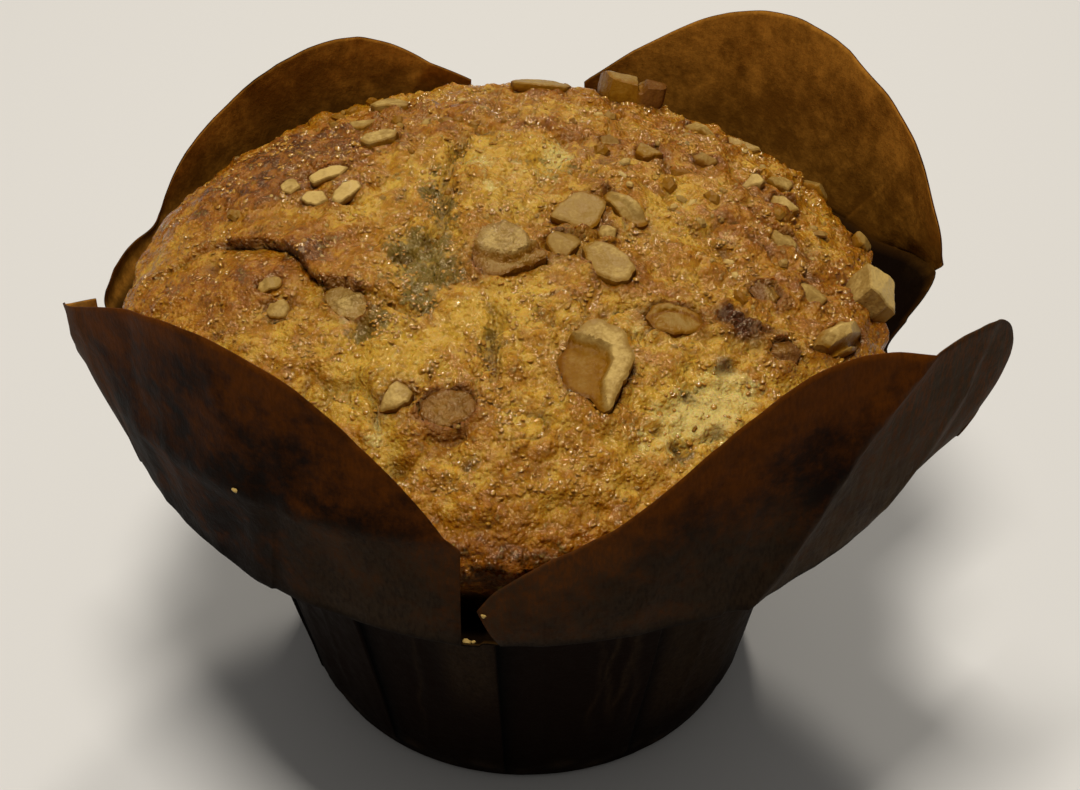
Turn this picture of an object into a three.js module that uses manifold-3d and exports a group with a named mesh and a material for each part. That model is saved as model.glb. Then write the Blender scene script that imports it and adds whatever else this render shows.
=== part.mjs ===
// A nut-topped muffin baked in a folded paper cup.
// Millimetres, +Z up. The origin is the middle of the cup's flat underside and
// the front of the muffin faces -Y. The muffin, the paper cup and every piece of
// nut are separate solids; a thin gap keeps them apart.

import * as THREE from "three";
import { mergeVertices } from "three/addons/utils/BufferGeometryUtils.js";
import Module from "manifold-3d";

const wasm = await Module();
wasm.setup();

// ---------------------------------------------------------------- dimensions

const PAPER = 0.5;               // the sheet, thicker than real paper

// Paper cup: a flat floor, a wall that widens upwards and a collar that folds
// out under the muffin's overhang.
const BASE_RADIUS = 25;
const FLOOR_RADIUS = 23.4;       // where the flat floor starts to round up
const BASE_ROUND = 1.6;
const RIM_RADIUS = 33;
const RIM_HEIGHT = 36;

// The fold between collar and petals, all the way round: azimuth in degrees
// (counted from +X towards +Y), radius and height. It dips in at the right slit.
const FOLD = [
  [-22, 45.5, 43.5], [-14, 40.5, 40.2], [4, 40, 40], [14, 47.2, 44.6], [28, 44.3, 42.3],
  [48, 43.6, 41.7], [140, 43.8, 41.9], [160, 45, 43.5], [176, 45.5, 44.3], [184, 44.3, 42.6],
  [200, 43.6, 41.7], [300, 43.6, 41.7], [326, 44.2, 42.3], [338, 45.5, 43.5],
];

// Four petals. Each stands on the fold between two azimuths, and its free edge
// runs through points given as azimuth, radius and height.
const PETALS = [
  {
    name: "back_right", from: 14, to: 81, columns: 15,
    edge: [[12, 47.3, 47], [10, 46, 52.5], [18, 46, 57], [28, 46, 60.6], [42, 46, 63.3],
      [52, 46, 62.8], [62, 46, 59.4], [72, 45.3, 53.8], [81, 43.5, 48.6]],
  },
  {
    name: "back_left", from: 99, to: 176, columns: 16,
    edge: [[99, 43.1, 49.2], [105, 43.5, 52], [112, 44.2, 55.5], [119, 44.8, 57.2],
      [128, 45.2, 56.8], [138, 45.6, 54.4], [148, 46, 51.6], [153, 46, 48.8],
      [156, 46, 46.4], [166, 46.3, 47.3], [175, 46.3, 47.6]],
  },
  {
    name: "front_left", from: 181, to: 262, columns: 18,
    edge: [[180, 46.4, 49.8], [184, 48.8, 51.8], [190, 48.6, 56], [198, 48.2, 60.8],
      [209, 46.4, 66.6], [217, 45.4, 69.8], [225, 45, 72], [233, 45, 72.7], [241, 44.7, 71],
      [248, 44.2, 67], [254, 44, 62.3], [259, 43.8, 57.8], [262.2, 43.5, 54.4]],
  },
  {
    name: "front_right", from: 267, to: 338, columns: 18,
    edge: [[264, 43.7, 46.4], [266.5, 44, 49.5], [273, 44, 53.6], [281, 44, 56.8], [288, 44, 60.8],
      [295, 44, 65], [302, 44.5, 68.4], [309, 45.2, 70], [317, 46.6, 68.9], [324, 47.8, 66.2],
      [331, 49.4, 64.8], [337, 50.8, 63], [341, 51.7, 59.8], [342.5, 51.9, 55],
      [341, 50.4, 50.4], [338, 48.6, 47.2]],
  },
];
const PETAL_ROWS = 4;
const PETAL_BELLY = 0.5;         // how far a petal bows outwards between fold and edge
const WALL_ROWS = [[13, 0.4], [25, 0.75]];       // height, and how much of each pleat is there
const COLLAR_MIDDLE = { out: 0.5, up: 0.42 };    // the collar bows between rim and fold
const SLIT_STEP = 5;             // degrees between the sheet's columns in a slit

// Pleats where the flat sheet was gathered into a cup: azimuth and half width in
// degrees, and how far each stands out at the rim.
const PLEATS = [
  [8, 5, 0.8], [33, 6, 1.0], [58, 5, 0.7], [92, 6, 1.0], [118, 5, 0.8], [147, 6, 1.0],
  [172, 5, 0.7], [203, 5, 0.8], [235, 6, 0.9], [264, 6, 1.1], [295, 6, 1.1], [322, 6, 0.9],
];

// Muffin: its body fills the cup, and its crown overhangs the rim a little more
// on the left.
const CROWN = {
  x: -2.5, y: 0, radiusX: 41, radiusY: 40.3, ringHeight: 48.5, rise: 11, shoulder: 0.65,
};
const POCKET_GAP = 0.4;          // between a piece of nut and its dent in the crust
const BODY_CLEARANCE = 0.9;      // between the body and the outside of the paper
const BODY_RINGS = [2.6, 14, 25];
const OVERHANG = [[32.1, 36.6, 0], [35.6, 39.9, 0.25], [39.2, 43.6, 0.7], [40.6, 46, 0.9]];
const EDGE_FADE = 4;             // how sharply swellings die out towards the crown's edge
const MUFFIN_SIDES = 60;
const CROWN_ROWS = [0.985, 0.94, 0.86, 0.74, 0.6, 0.44, 0.28, 0.13];

// Swellings of the crown: x, y, radius and height.
const SWELLS = [
  [-25, 14, 12, 1.3], [-3, 17, 12, 1.1], [-8, -1, 9, 0.7], [20, 7, 12, 0.6],
  [-2, -23, 12, 0.5], [-29, -9, 10, 0.4],
];

// Pieces of nut on the crown: name, kind, x and y, size along, across and through
// (mm), turn about the crust's normal in degrees, and the part of the piece's
// half thickness by which its middle stands above the crust.
const NUTS = [
  ["walnut_centre", "chunk", -1.4, -4.9, [7.2, 6.6, 4.0], 15, 0.3],
  ["slice_centre", "slab", 5.6, 2.2, [5.8, 6.2, 1.8], 20, 0.3],
  ["wedge_centre", "chunk", 4.1, -2.9, [3.6, 4.0, 2.0], -20, 0.3],
  ["bit_centre", "bit", 8.5, -0.7, [2.2, 2.6, 1.6], 0, 0.3],
  ["sliver_centre", "sliver", 10.6, 3.6, [8.0, 2.6, 1.8], -50, 0.3],
  ["oval_slice", "chunk", 8.6, -6.0, [6.2, 3.9, 2.0], -58, 0.3],
  ["lobed_half", "chunk", 15.4, -12.7, [5.8, 4.0, 2.0], 0, 0.15],
  ["hooked_half", "chunk", 7.1, -21.2, [10.6, 6.6, 4.6], -80, 0.3],
  ["cube_chunk_right", "chunk", 36.3, -1.8, [4.4, 4.6, 4.8], 25, 0.35],
  ["chunk_right", "chunk", 32.4, -10.4, [5.8, 4.4, 4.2], 10, 0.45],
  ["chunk_back", "chunk", 11.8, 33.6, [8.0, 5.2, 4.4], -25, 0.5],
  ["slab_back", "slab", 1.5, 33.6, [6.4, 3.6, 1.6], 0, 0.3],
  ["sliver_back_left", "sliver", 20.0, 26.2, [4.6, 2.4, 1.6], -25, 0.5],
  ["sliver_back_right", "sliver", 24.6, 23.8, [4.8, 2.2, 1.6], -30, 0.5],
  ["bright_bit", "bit", 24.8, 13.2, [3.4, 2.8, 2.4], 30, 0.45],
  ["pale_lump", "bit", 28.2, 10.2, [3.8, 2.6, 2.0], -35, 0.3],
  ["pale_flake", "bit", 28.0, 15.0, [3.2, 2.4, 1.6], 10, 0.3],
  ["rim_sliver", "sliver", 32.4, 18.4, [4.8, 2.4, 1.8], -50, 0.45],
  ["rim_bit", "bit", 36.4, 8.6, [2.8, 2.4, 2.4], 0, 0.4],
  ["oval_back", "bit", 13.6, 15.4, [3.6, 2.6, 2.0], 10, 0.35],
  ["shard_long", "sliver", -21.4, 10.2, [4.8, 2.6, 1.0], 22, 0.4],
  ["shard_low", "sliver", -22.6, 6.0, [3.6, 2.6, 1.0], 8, 0.4],
  ["shard_outer", "bit", -25.6, 9.0, [3.0, 3.6, 1.0], 15, 0.4],
  ["shard_inner", "bit", -19.0, 6.0, [4.4, 2.4, 1.0], 70, 0.4],
  ["yellow_chunk_back", "slab", -15.6, 28.6, [4.0, 3.4, 2.4], 10, 0.45],
  ["yellow_chunk_middle", "bit", -18.2, 22.4, [3.8, 3.0, 2.0], 40, 0.35],
  ["yellow_chunk_front", "sliver", -16.2, 16.9, [4.8, 2.4, 1.8], 20, 0.45],
  ["pink_chunk_left", "chunk", -18.4, -10.6, [5.8, 3.4, 2.0], -50, 0.3],
  ["bit_left_upper", "sliver", -26.6, -6.8, [3.2, 2.0, 1.1], 20, 0.3],
  ["bit_left_lower", "bit", -25.6, -10.4, [2.8, 2.6, 1.1], 0, 0.3],
  ["pale_wedge", "bit", -12.8, -23.8, [4.0, 3.6, 2.0], 45, 0.35],
  ["sunken_chunk", "chunk", -7.6, -25.4, [6.2, 4.8, 1.8], 10, 0],
  ["bit_right_upper", "bit", 27.8, 3.2, [3.6, 2.6, 1.8], 10, 0.3],
  ["brown_bit_right", "bit", 25.0, -6.6, [3.6, 3.0, 2.2], 0, 0.3],
  ["pale_bit_right", "bit", 30.2, -4.6, [3.8, 2.6, 1.8], -50, 0.3],
  ["dark_chunk_right", "bit", 26.6, -14.4, [3.6, 3.2, 2.4], 20, 0.35],
  ["bit_back_middle", "bit", 9.3, 18.3, [2.8, 2.2, 1.6], 0, 0.3],
  ["bit_back_right", "bit", 19.6, 15.6, [3.0, 2.4, 1.6], -20, 0.3],
];

const NUT_FULLNESS = 1.1;        // fills a faceted piece out to its stated size
const SLAB = { top: 1, foot: 0.86, height: 1.5, sides: 7 };
// Unevenness of a piece, as parts of its half size: depth and waves along x, y and z.
const ROUGH_SIDES = { depth: 0.07, alongX: 5.1, alongY: 4.3 };
const ROUGH_ENDS = { depth: 0.05, alongZ: 6.7 };
const SLOPE_STEP = 0.5;          // how far apart the crust is measured to find its slope
const WELD = 1e-4;               // points closer than this are one point

const paperMaterial = new THREE.MeshStandardMaterial({ color: 0x3d2415, roughness: 0.7, metalness: 0 });
const crustMaterial = new THREE.MeshStandardMaterial({ color: 0xb5752a, roughness: 0.6, metalness: 0 });
const nutMaterial = new THREE.MeshStandardMaterial({ color: 0xd1aa66, roughness: 0.5, metalness: 0 });

// ------------------------------------------------------------------- helpers

const lerp = (a, b, t) => a + (b - a) * t;
const smooth = (t) => t * t * (3 - 2 * t);

function cylindrical(azimuth, radius, height) {
  const angle = THREE.MathUtils.degToRad(azimuth);
  return new THREE.Vector3(radius * Math.cos(angle), radius * Math.sin(angle), height);
}

// A closed mesh's shared vertices, merged, as a manifold-3d solid.
function toSolid(geometry) {
  const bare = geometry.clone();
  bare.deleteAttribute("normal");
  bare.deleteAttribute("uv");
  const merged = mergeVertices(bare, WELD);
  return new wasm.Manifold(new wasm.Mesh({
    numProp: 3,
    vertProperties: Float32Array.from(merged.attributes.position.array),
    triVerts: Uint32Array.from(merged.index.array),
  }));
}

function fromSolid(solid) {
  const mesh = solid.getMesh();
  const geometry = new THREE.BufferGeometry();
  geometry.setAttribute("position", new THREE.Float32BufferAttribute(mesh.vertProperties, 3));
  geometry.setIndex(Array.from(mesh.triVerts));
  geometry.computeVertexNormals();
  return geometry;
}

function indexed(points, triangles) {
  const geometry = new THREE.BufferGeometry().setFromPoints(points);
  geometry.setIndex(triangles.flat());
  geometry.computeVertexNormals();
  return geometry;
}

// ----------------------------------------------------------------- paper cup

// Radius and height of the fold at any azimuth, eased between the listed points.
function foldAt(azimuth) {
  const a = azimuth > 338 ? azimuth - 360 : azimuth;
  const next = FOLD.findIndex((row) => row[0] >= a);
  const [low, high] = [FOLD[Math.max(next - 1, 0)], FOLD[next]];
  const t = high[0] === low[0] ? 0 : smooth((a - low[0]) / (high[0] - low[0]));
  return [lerp(low[1], high[1], t), lerp(low[2], high[2], t)];
}

function pleatAt(azimuth) {
  let height = 0;
  for (const [centre, halfWidth, depth] of PLEATS) {
    const away = Math.abs(((azimuth - centre + 540) % 360) - 180) / halfWidth;
    if (away < 1) height += depth * (1 - smooth(away));
  }
  return height;
}

// The sheet from the floor's edge up to the fold, at one azimuth.
function cupColumn(azimuth) {
  const pleat = pleatAt(azimuth);
  const wallRadius = (height) => lerp(BASE_RADIUS, RIM_RADIUS, height / RIM_HEIGHT);
  const [foldRadius, foldHeight] = foldAt(azimuth);
  const rim = [RIM_RADIUS + pleat, RIM_HEIGHT];
  const middle = [
    lerp(rim[0], foldRadius, COLLAR_MIDDLE.out), lerp(rim[1], foldHeight, COLLAR_MIDDLE.up)];
  const profile = [
    [FLOOR_RADIUS, 0],
    [BASE_RADIUS, BASE_ROUND],
    ...WALL_ROWS.map(([height, share]) => [wallRadius(height) + pleat * share, height]),
    rim, middle, [foldRadius, foldHeight],
  ];
  return profile.map(([radius, height]) => cylindrical(azimuth, radius, height));
}

// One column of a petal above the fold: t runs from 0 to 1 along the petal.
function petalColumn(petal, edgeCurve, t) {
  const azimuth = lerp(petal.from, petal.to, t);
  const [foldRadius, foldHeight] = foldAt(azimuth);
  const edge = edgeCurve.getPoint(t);
  const column = [];
  for (let row = 1; row <= PETAL_ROWS; row++) {
    const up = row / PETAL_ROWS;
    const belly = PETAL_BELLY * Math.sin(Math.PI * up);
    column.push(cylindrical(
      lerp(azimuth, edge.x, up), lerp(foldRadius, edge.y, up) + belly, lerp(foldHeight, edge.z, up)));
  }
  return column;
}

// Gives an open sheet its thickness: a second layer inside the first, joined to
// it along every free edge.
function thicken(points, triangles, thickness) {
  const outer = indexed(points, triangles);
  const normal = new THREE.Vector3();
  const count = points.length;
  const inner = points.map((point, i) => {
    normal.fromBufferAttribute(outer.attributes.normal, i);
    return point.clone().addScaledVector(normal, -thickness);
  });
  const edges = new Set();
  const faces = [];
  for (const [a, b, c] of triangles) {
    faces.push([a, b, c], [c + count, b + count, a + count]);
    for (const [from, to] of [[a, b], [b, c], [c, a]]) edges.add(`${from},${to}`);
  }
  for (const edge of edges) {
    const [from, to] = edge.split(",").map(Number);
    if (edges.has(`${to},${from}`)) continue;
    faces.push([to, from, from + count], [to, from + count, to + count]);
  }
  return indexed([...points, ...inner], faces);
}

function paperCup() {
  const points = [new THREE.Vector3(0, 0, 0)];
  const columns = [];
  const addColumn = (petalName, column) => {
    const first = points.length;
    points.push(...column);
    columns.push({ petalName, rows: column.map((_, i) => first + i) });
  };
  PETALS.forEach((petal, index) => {
    const controls = petal.edge.map((point) => new THREE.Vector3(...point));
    const edgeCurve = new THREE.CatmullRomCurve3(controls, false, "centripetal");
    for (let i = 0; i <= petal.columns; i++) {
      const t = i / petal.columns;
      const azimuth = lerp(petal.from, petal.to, t);
      addColumn(petal.name, [...cupColumn(azimuth), ...petalColumn(petal, edgeCurve, t)]);
    }
    const next = PETALS[(index + 1) % PETALS.length];
    const nextFrom = next.from + (next.from < petal.to ? 360 : 0);
    const steps = Math.ceil((nextFrom - petal.to) / SLIT_STEP);
    for (let i = 1; i < steps; i++) addColumn("slit", cupColumn(lerp(petal.to, nextFrom, i / steps)));
  });
  const triangles = [];
  const cupRows = cupColumn(0).length;
  columns.forEach(({ petalName, rows }, i) => {
    const next = columns[(i + 1) % columns.length];
    const height = petalName === next.petalName ? rows.length : cupRows;
    triangles.push([0, next.rows[0], rows[0]]);
    for (let row = 0; row + 1 < height; row++) {
      triangles.push([rows[row], next.rows[row], next.rows[row + 1]]);
      triangles.push([rows[row], next.rows[row + 1], rows[row + 1]]);
    }
  });
  return thicken(points, triangles, PAPER);
}

// -------------------------------------------------------------------- muffin

function crustHeight(x, y) {
  const across = ((x - CROWN.x) / CROWN.radiusX) ** 2 + ((y - CROWN.y) / CROWN.radiusY) ** 2;
  const edge = Math.max(0, 1 - across);
  let height = CROWN.ringHeight + CROWN.rise * edge ** CROWN.shoulder;
  for (const [cx, cy, radius, rise] of SWELLS) {
    const far = ((x - cx) ** 2 + (y - cy) ** 2) / radius ** 2;
    height += rise * Math.exp(-far) * Math.min(1, edge * EDGE_FADE);
  }
  return height;
}

function muffinBody() {
  const bottom = BODY_CLEARANCE;
  const rings = [];
  const ring = (pointAt) => {
    const row = [];
    for (let i = 0; i < MUFFIN_SIDES; i++) row.push(pointAt((i / MUFFIN_SIDES) * 2 * Math.PI));
    rings.push(row);
  };
  const round = (radiusX, radiusY, height, x, y) => ring((angle) => new THREE.Vector3(
    x + radiusX * Math.cos(angle), y + radiusY * Math.sin(angle), height));
  const wall = (height) => lerp(BASE_RADIUS, RIM_RADIUS, height / RIM_HEIGHT) - BODY_CLEARANCE;
  round(FLOOR_RADIUS - BODY_CLEARANCE, FLOOR_RADIUS - BODY_CLEARANCE, bottom, 0, 0);
  for (const height of BODY_RINGS) round(wall(height), wall(height), height, 0, 0);
  for (const [radius, height, shift] of OVERHANG) {
    const squeeze = lerp(1, CROWN.radiusY / CROWN.radiusX, shift);
    round(radius, radius * squeeze, height, CROWN.x * shift, CROWN.y * shift);
  }
  round(CROWN.radiusX, CROWN.radiusY, CROWN.ringHeight, CROWN.x, CROWN.y);
  for (const part of CROWN_ROWS) {
    ring((angle) => {
      const x = CROWN.x + part * CROWN.radiusX * Math.cos(angle);
      const y = CROWN.y + part * CROWN.radiusY * Math.sin(angle);
      return new THREE.Vector3(x, y, crustHeight(x, y));
    });
  }
  const points = [new THREE.Vector3(0, 0, bottom), ...rings.flat()];
  const top = points.length;
  points.push(new THREE.Vector3(CROWN.x, CROWN.y, crustHeight(CROWN.x, CROWN.y)));
  const at = (row, side) => 1 + row * MUFFIN_SIDES + (side % MUFFIN_SIDES);
  const triangles = [];
  for (let side = 0; side < MUFFIN_SIDES; side++) {
    triangles.push([0, at(0, side + 1), at(0, side)]);
    for (let row = 0; row + 1 < rings.length; row++) {
      triangles.push([at(row, side), at(row, side + 1), at(row + 1, side + 1)]);
      triangles.push([at(row, side), at(row + 1, side + 1), at(row + 1, side)]);
    }
    triangles.push([at(rings.length - 1, side), at(rings.length - 1, side + 1), top]);
  }
  return indexed(points, triangles);
}

// ---------------------------------------------------------------------- nuts

// Half sizes along x, y and z make the piece; "extra" swells it for its pocket.
function nutShape(kind, size, extra, seed) {
  const half = size.map((length) => length / 2 + extra);
  const geometry = kind === "slab"
    ? new THREE.CylinderGeometry(SLAB.top, SLAB.foot, SLAB.height, SLAB.sides).rotateX(Math.PI / 2)
    : new THREE.IcosahedronGeometry(1, kind === "chunk" ? 1 : 0);
  const position = geometry.attributes.position;
  const point = new THREE.Vector3();
  for (let i = 0; i < position.count; i++) {
    point.fromBufferAttribute(position, i);
    const sides = Math.sin(ROUGH_SIDES.alongX * point.x + seed)
      * Math.cos(ROUGH_SIDES.alongY * point.y + 2 * seed);
    const ends = Math.sin(ROUGH_ENDS.alongZ * point.z + 3 * seed);
    point.multiplyScalar(NUT_FULLNESS + ROUGH_SIDES.depth * sides + ROUGH_ENDS.depth * ends);
    position.setXYZ(i, point.x * half[0], point.y * half[1], point.z * half[2]);
  }
  return geometry;
}

function crustNormal(x, y) {
  const step = SLOPE_STEP;
  const slopeX = (crustHeight(x + step, y) - crustHeight(x - step, y)) / (2 * step);
  const slopeY = (crustHeight(x, y + step) - crustHeight(x, y - step)) / (2 * step);
  return new THREE.Vector3(-slopeX, -slopeY, 1).normalize();
}

function placement(x, y, size, turn, lift) {
  const normal = crustNormal(x, y);
  const tilt = new THREE.Quaternion().setFromUnitVectors(new THREE.Vector3(0, 0, 1), normal);
  const spin = new THREE.Quaternion().setFromAxisAngle(
    new THREE.Vector3(0, 0, 1), THREE.MathUtils.degToRad(turn));
  const centre = new THREE.Vector3(x, y, crustHeight(x, y)).addScaledVector(normal, (lift * size[2]) / 2);
  return new THREE.Matrix4().compose(centre, tilt.multiply(spin), new THREE.Vector3(1, 1, 1));
}

// ------------------------------------------------------------------ assembly

const muffinInCup = new THREE.Group();

const cup = new THREE.Mesh(paperCup(), paperMaterial);
cup.name = "paper_cup";
muffinInCup.add(cup);

let muffinSolid = toSolid(muffinBody());
NUTS.forEach(([name, kind, x, y, size, turn, lift], index) => {
  const place = placement(x, y, size, turn, lift);
  const pocket = nutShape(kind, size, POCKET_GAP, index).applyMatrix4(place);
  muffinSolid = muffinSolid.subtract(toSolid(pocket));
  const piece = new THREE.Mesh(nutShape(kind, size, 0, index), nutMaterial);
  piece.name = name;
  place.decompose(piece.position, piece.quaternion, piece.scale);
  muffinInCup.add(piece);
});

const muffin = new THREE.Mesh(fromSolid(muffinSolid), crustMaterial);
muffin.name = "muffin";
muffinInCup.add(muffin);

export default muffinInCup;
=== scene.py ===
# %% [markdown]
# # A nut-topped muffin in a folded paper cup
#
# The muffin was baked as one piece. Its body fills a cup that was gathered from one
# sheet of dark brown baking paper, its crown swelled out over the rim, and chopped
# nuts were strewn on top before it went into the oven. This lesson makes the paper
# first, then the crown, then each piece of nut, and last the sugar and crumbs.
#
# The frame is the model of the same muffin in model.glb: plain solids at their real size.
# Loading it first fixes where everything goes, so nothing has to be fitted later.

# %% Load the frame
import math

import bmesh
import bpy
import numpy as np
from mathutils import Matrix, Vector, geometry, noise


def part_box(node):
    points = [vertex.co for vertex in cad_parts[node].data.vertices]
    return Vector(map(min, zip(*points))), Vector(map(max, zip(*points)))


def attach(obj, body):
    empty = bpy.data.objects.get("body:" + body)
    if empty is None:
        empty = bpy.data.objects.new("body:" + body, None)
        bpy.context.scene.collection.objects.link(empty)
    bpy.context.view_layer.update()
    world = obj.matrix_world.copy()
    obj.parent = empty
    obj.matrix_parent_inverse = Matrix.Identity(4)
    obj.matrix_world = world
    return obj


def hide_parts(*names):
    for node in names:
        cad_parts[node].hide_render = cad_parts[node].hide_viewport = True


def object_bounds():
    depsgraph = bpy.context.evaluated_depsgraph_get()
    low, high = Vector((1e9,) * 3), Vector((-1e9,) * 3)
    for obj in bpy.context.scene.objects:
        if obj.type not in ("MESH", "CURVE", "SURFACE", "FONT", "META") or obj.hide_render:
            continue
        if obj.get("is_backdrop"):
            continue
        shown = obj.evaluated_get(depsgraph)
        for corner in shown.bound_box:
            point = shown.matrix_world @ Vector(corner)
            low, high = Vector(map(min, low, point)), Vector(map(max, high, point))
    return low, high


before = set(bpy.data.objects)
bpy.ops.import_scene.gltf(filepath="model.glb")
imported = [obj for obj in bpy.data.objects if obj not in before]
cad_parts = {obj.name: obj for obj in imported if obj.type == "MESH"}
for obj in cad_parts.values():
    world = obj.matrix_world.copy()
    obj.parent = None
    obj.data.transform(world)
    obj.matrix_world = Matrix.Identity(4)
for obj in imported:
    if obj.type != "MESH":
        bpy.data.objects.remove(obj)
cad_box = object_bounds()

MM = 0.001      # Blender works in metres, and this lesson thinks in millimetres

cad_low, cad_high = (np.array(corner) / MM for corner in cad_box)
print("the model spans", np.round(cad_high - cad_low, 1), "mm")

# %% [markdown]
# ## Camera, floor and light
#
# The muffin stands on a plain pale floor and is looked down on from 41 degrees, from
# a hand's reach away, so the front petals look larger than the back ones. A wide soft
# lamp overhead does most of the work. It lights the crown and the insides of the back
# petals, and it leaves the outsides of the front petals in half shade. A second lamp
# behind gives the sugary crust its small bright glints.

# %% Camera
VIEW_HEIGHT = math.radians(41)
VIEW_DISTANCE = 290
VIEW_TARGET = Vector((1.5, 0, 36))

camera_data = bpy.data.cameras.new("camera")
camera_data.lens = 87
camera_data.sensor_width = 36
camera_data.clip_start = 0.01
camera = bpy.data.objects.new("camera", camera_data)
towards_camera = Vector((0, -math.cos(VIEW_HEIGHT), math.sin(VIEW_HEIGHT)))
camera.location = (VIEW_TARGET + towards_camera * VIEW_DISTANCE) * MM
camera.rotation_euler = towards_camera.to_track_quat("Z", "Y").to_euler()
bpy.context.scene.collection.objects.link(camera)
bpy.context.scene.camera = camera
bpy.context.scene.view_settings.view_transform = "Standard"
print("camera at", [round(v / MM) for v in camera.location], "mm")

# %% Floor
FLOOR_SIZE = 4000
FLOOR_COLOR = (0.78, 0.77, 0.75, 1)

half = FLOOR_SIZE / 2 * MM
floor_corners = [(-half, -half, 0), (half, -half, 0), (half, half, 0), (-half, half, 0)]
floor_mesh = bpy.data.meshes.new("floor")
floor_mesh.from_pydata(floor_corners, [], [(0, 1, 2, 3)])
pale_floor = bpy.data.materials.new("pale_floor")
pale_floor.use_nodes = True
floor_shader = pale_floor.node_tree.nodes["Principled BSDF"]
floor_shader.inputs["Base Color"].default_value = FLOOR_COLOR
floor_shader.inputs["Roughness"].default_value = 0.7
floor_mesh.materials.append(pale_floor)
floor = bpy.data.objects.new("floor", floor_mesh)
bpy.context.scene.collection.objects.link(floor)
floor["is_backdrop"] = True
print("floor", FLOOR_SIZE, "mm across")

# %% Lamps
CROWN_MIDDLE = Vector((0, 0, 50))
SKY_COLOR = (1.0, 0.97, 0.93, 1)
SKY_STRENGTH = 0.16


def add_lamp(name, place, size, watts, color):
    """A square soft lamp at a place in mm, aimed at the middle of the crown."""
    data = bpy.data.lights.new(name, "AREA")
    data.size = size * MM
    data.energy = watts
    data.color = color
    lamp = bpy.data.objects.new(name, data)
    lamp.location = Vector(place) * MM
    lamp.rotation_euler = (CROWN_MIDDLE - Vector(place)).to_track_quat("-Z", "Y").to_euler()
    bpy.context.scene.collection.objects.link(lamp)


add_lamp("overhead", (-60, -60, 620), size=150, watts=2.5, color=(1.0, 0.95, 0.87))
add_lamp("glint", (60, 420, 430), size=60, watts=0.9, color=(1.0, 0.94, 0.84))

world = bpy.data.worlds.new("studio")
world.use_nodes = True
sky = world.node_tree.nodes["Background"]
sky.inputs["Color"].default_value = SKY_COLOR
sky.inputs["Strength"].default_value = SKY_STRENGTH
bpy.context.scene.world = world
print("stage set with", len(bpy.data.lights), "lamps")

# %% [markdown]
# ## Paper cup: the course of the sheet
#
# The real cup is one flat sheet pressed into a mould. It has a flat floor, a wall that
# widens upwards and so has to be pleated, and a collar that turns out under the crown.
# At the collar's end the sheet folds sharply up into four petals, and cuts between the
# petals let them open. It is made here as one grid: columns go round the cup, rows
# follow the sheet from the floor's middle to the petals' edges. These are the same
# sizes that the plain model has.

# %% Sizes of the cup
BASE_RADIUS = 25
FLOOR_RADIUS = 23.4
BASE_ROUND = 1.6
RIM_RADIUS = 33
RIM_HEIGHT = 36
PAPER_THICKNESS = 0.16
PETAL_BELLY = 0.5
PETAL_RADIUS = 45

print("a cup", 2 * BASE_RADIUS, "mm wide at its base and", 2 * RIM_RADIUS, "mm at its rim")

# %% Fold below the petals
# Azimuth, radius and height of the fold.
FOLD = np.array([
    (-22, 45.5, 43.5), (-14, 40.5, 40.2), (4, 40, 40), (14, 47.2, 44.6), (28, 44.3, 42.3),
    (48, 43.6, 41.7), (140, 43.8, 41.9), (160, 45, 43.5), (176, 45.5, 44.3), (184, 44.3, 42.6),
    (200, 43.6, 41.7), (300, 43.6, 41.7), (326, 44.2, 42.3), (338, 45.5, 43.5),
])


def ease(t):
    """0 below 0, 1 above 1, and a smooth rise between them."""
    t = np.clip(t, 0, 1)
    return t * t * (3 - 2 * t)


def fold_at(azimuth):
    """Radius and height of the fold at each azimuth."""
    wrapped = np.where(azimuth > FOLD[-1, 0], azimuth - 360, azimuth)
    row = np.clip(np.searchsorted(FOLD[:, 0], wrapped), 1, len(FOLD) - 1)
    low, high = FOLD[row - 1], FOLD[row]
    t = ease((wrapped - low[:, 0]) / (high[:, 0] - low[:, 0]))
    return low[:, 1] + (high[:, 1] - low[:, 1]) * t, low[:, 2] + (high[:, 2] - low[:, 2]) * t


print("the fold lies", FOLD[:, 2].min(), "to", FOLD[:, 2].max(), "mm up")

# %% Petals
# Each petal stands on the fold between two azimuths. Its free edge runs through points
# of azimuth, radius and height.
PETALS = {
    "back_right": (14, 81, [
        (12, 47.3, 47), (10, 46, 52.5), (18, 46, 57), (28, 46, 60.6), (42, 46, 63.3),
        (52, 46, 62.8), (62, 46, 59.4), (72, 45.3, 53.8), (81, 43.5, 48.6)]),
    "back_left": (99, 176, [
        (99, 43.1, 49.2), (105, 43.5, 52), (112, 44.2, 55.5), (119, 44.8, 57.2),
        (128, 45.2, 56.8), (138, 45.6, 54.4), (148, 46, 51.6), (153, 46, 48.8),
        (156, 46, 46.4), (166, 46.3, 47.3), (175, 46.3, 47.6)]),
    "front_left": (181, 262, [
        (180, 46.4, 49.8), (184, 48.8, 51.8), (190, 48.6, 56), (198, 48.2, 60.8),
        (209, 46.4, 66.6), (217, 45.4, 69.8), (225, 45, 72), (233, 45, 72.7), (241, 44.7, 71),
        (248, 44.2, 67), (254, 44, 62.3), (259, 43.8, 57.8), (262.2, 43.5, 54.4)]),
    "front_right": (267, 338, [
        (264, 43.7, 46.4), (266.5, 44, 49.5), (273, 44, 53.6), (281, 44, 56.8), (288, 44, 60.8),
        (295, 44, 65), (302, 44.5, 68.4), (309, 45.2, 70), (317, 46.6, 68.9), (324, 47.8, 66.2),
        (331, 49.4, 64.8), (337, 50.8, 63), (341, 51.7, 59.8), (342.5, 51.9, 55),
        (341, 50.4, 50.4), (338, 48.6, 47.2)]),
}
print(len(PETALS), "petals")

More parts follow.
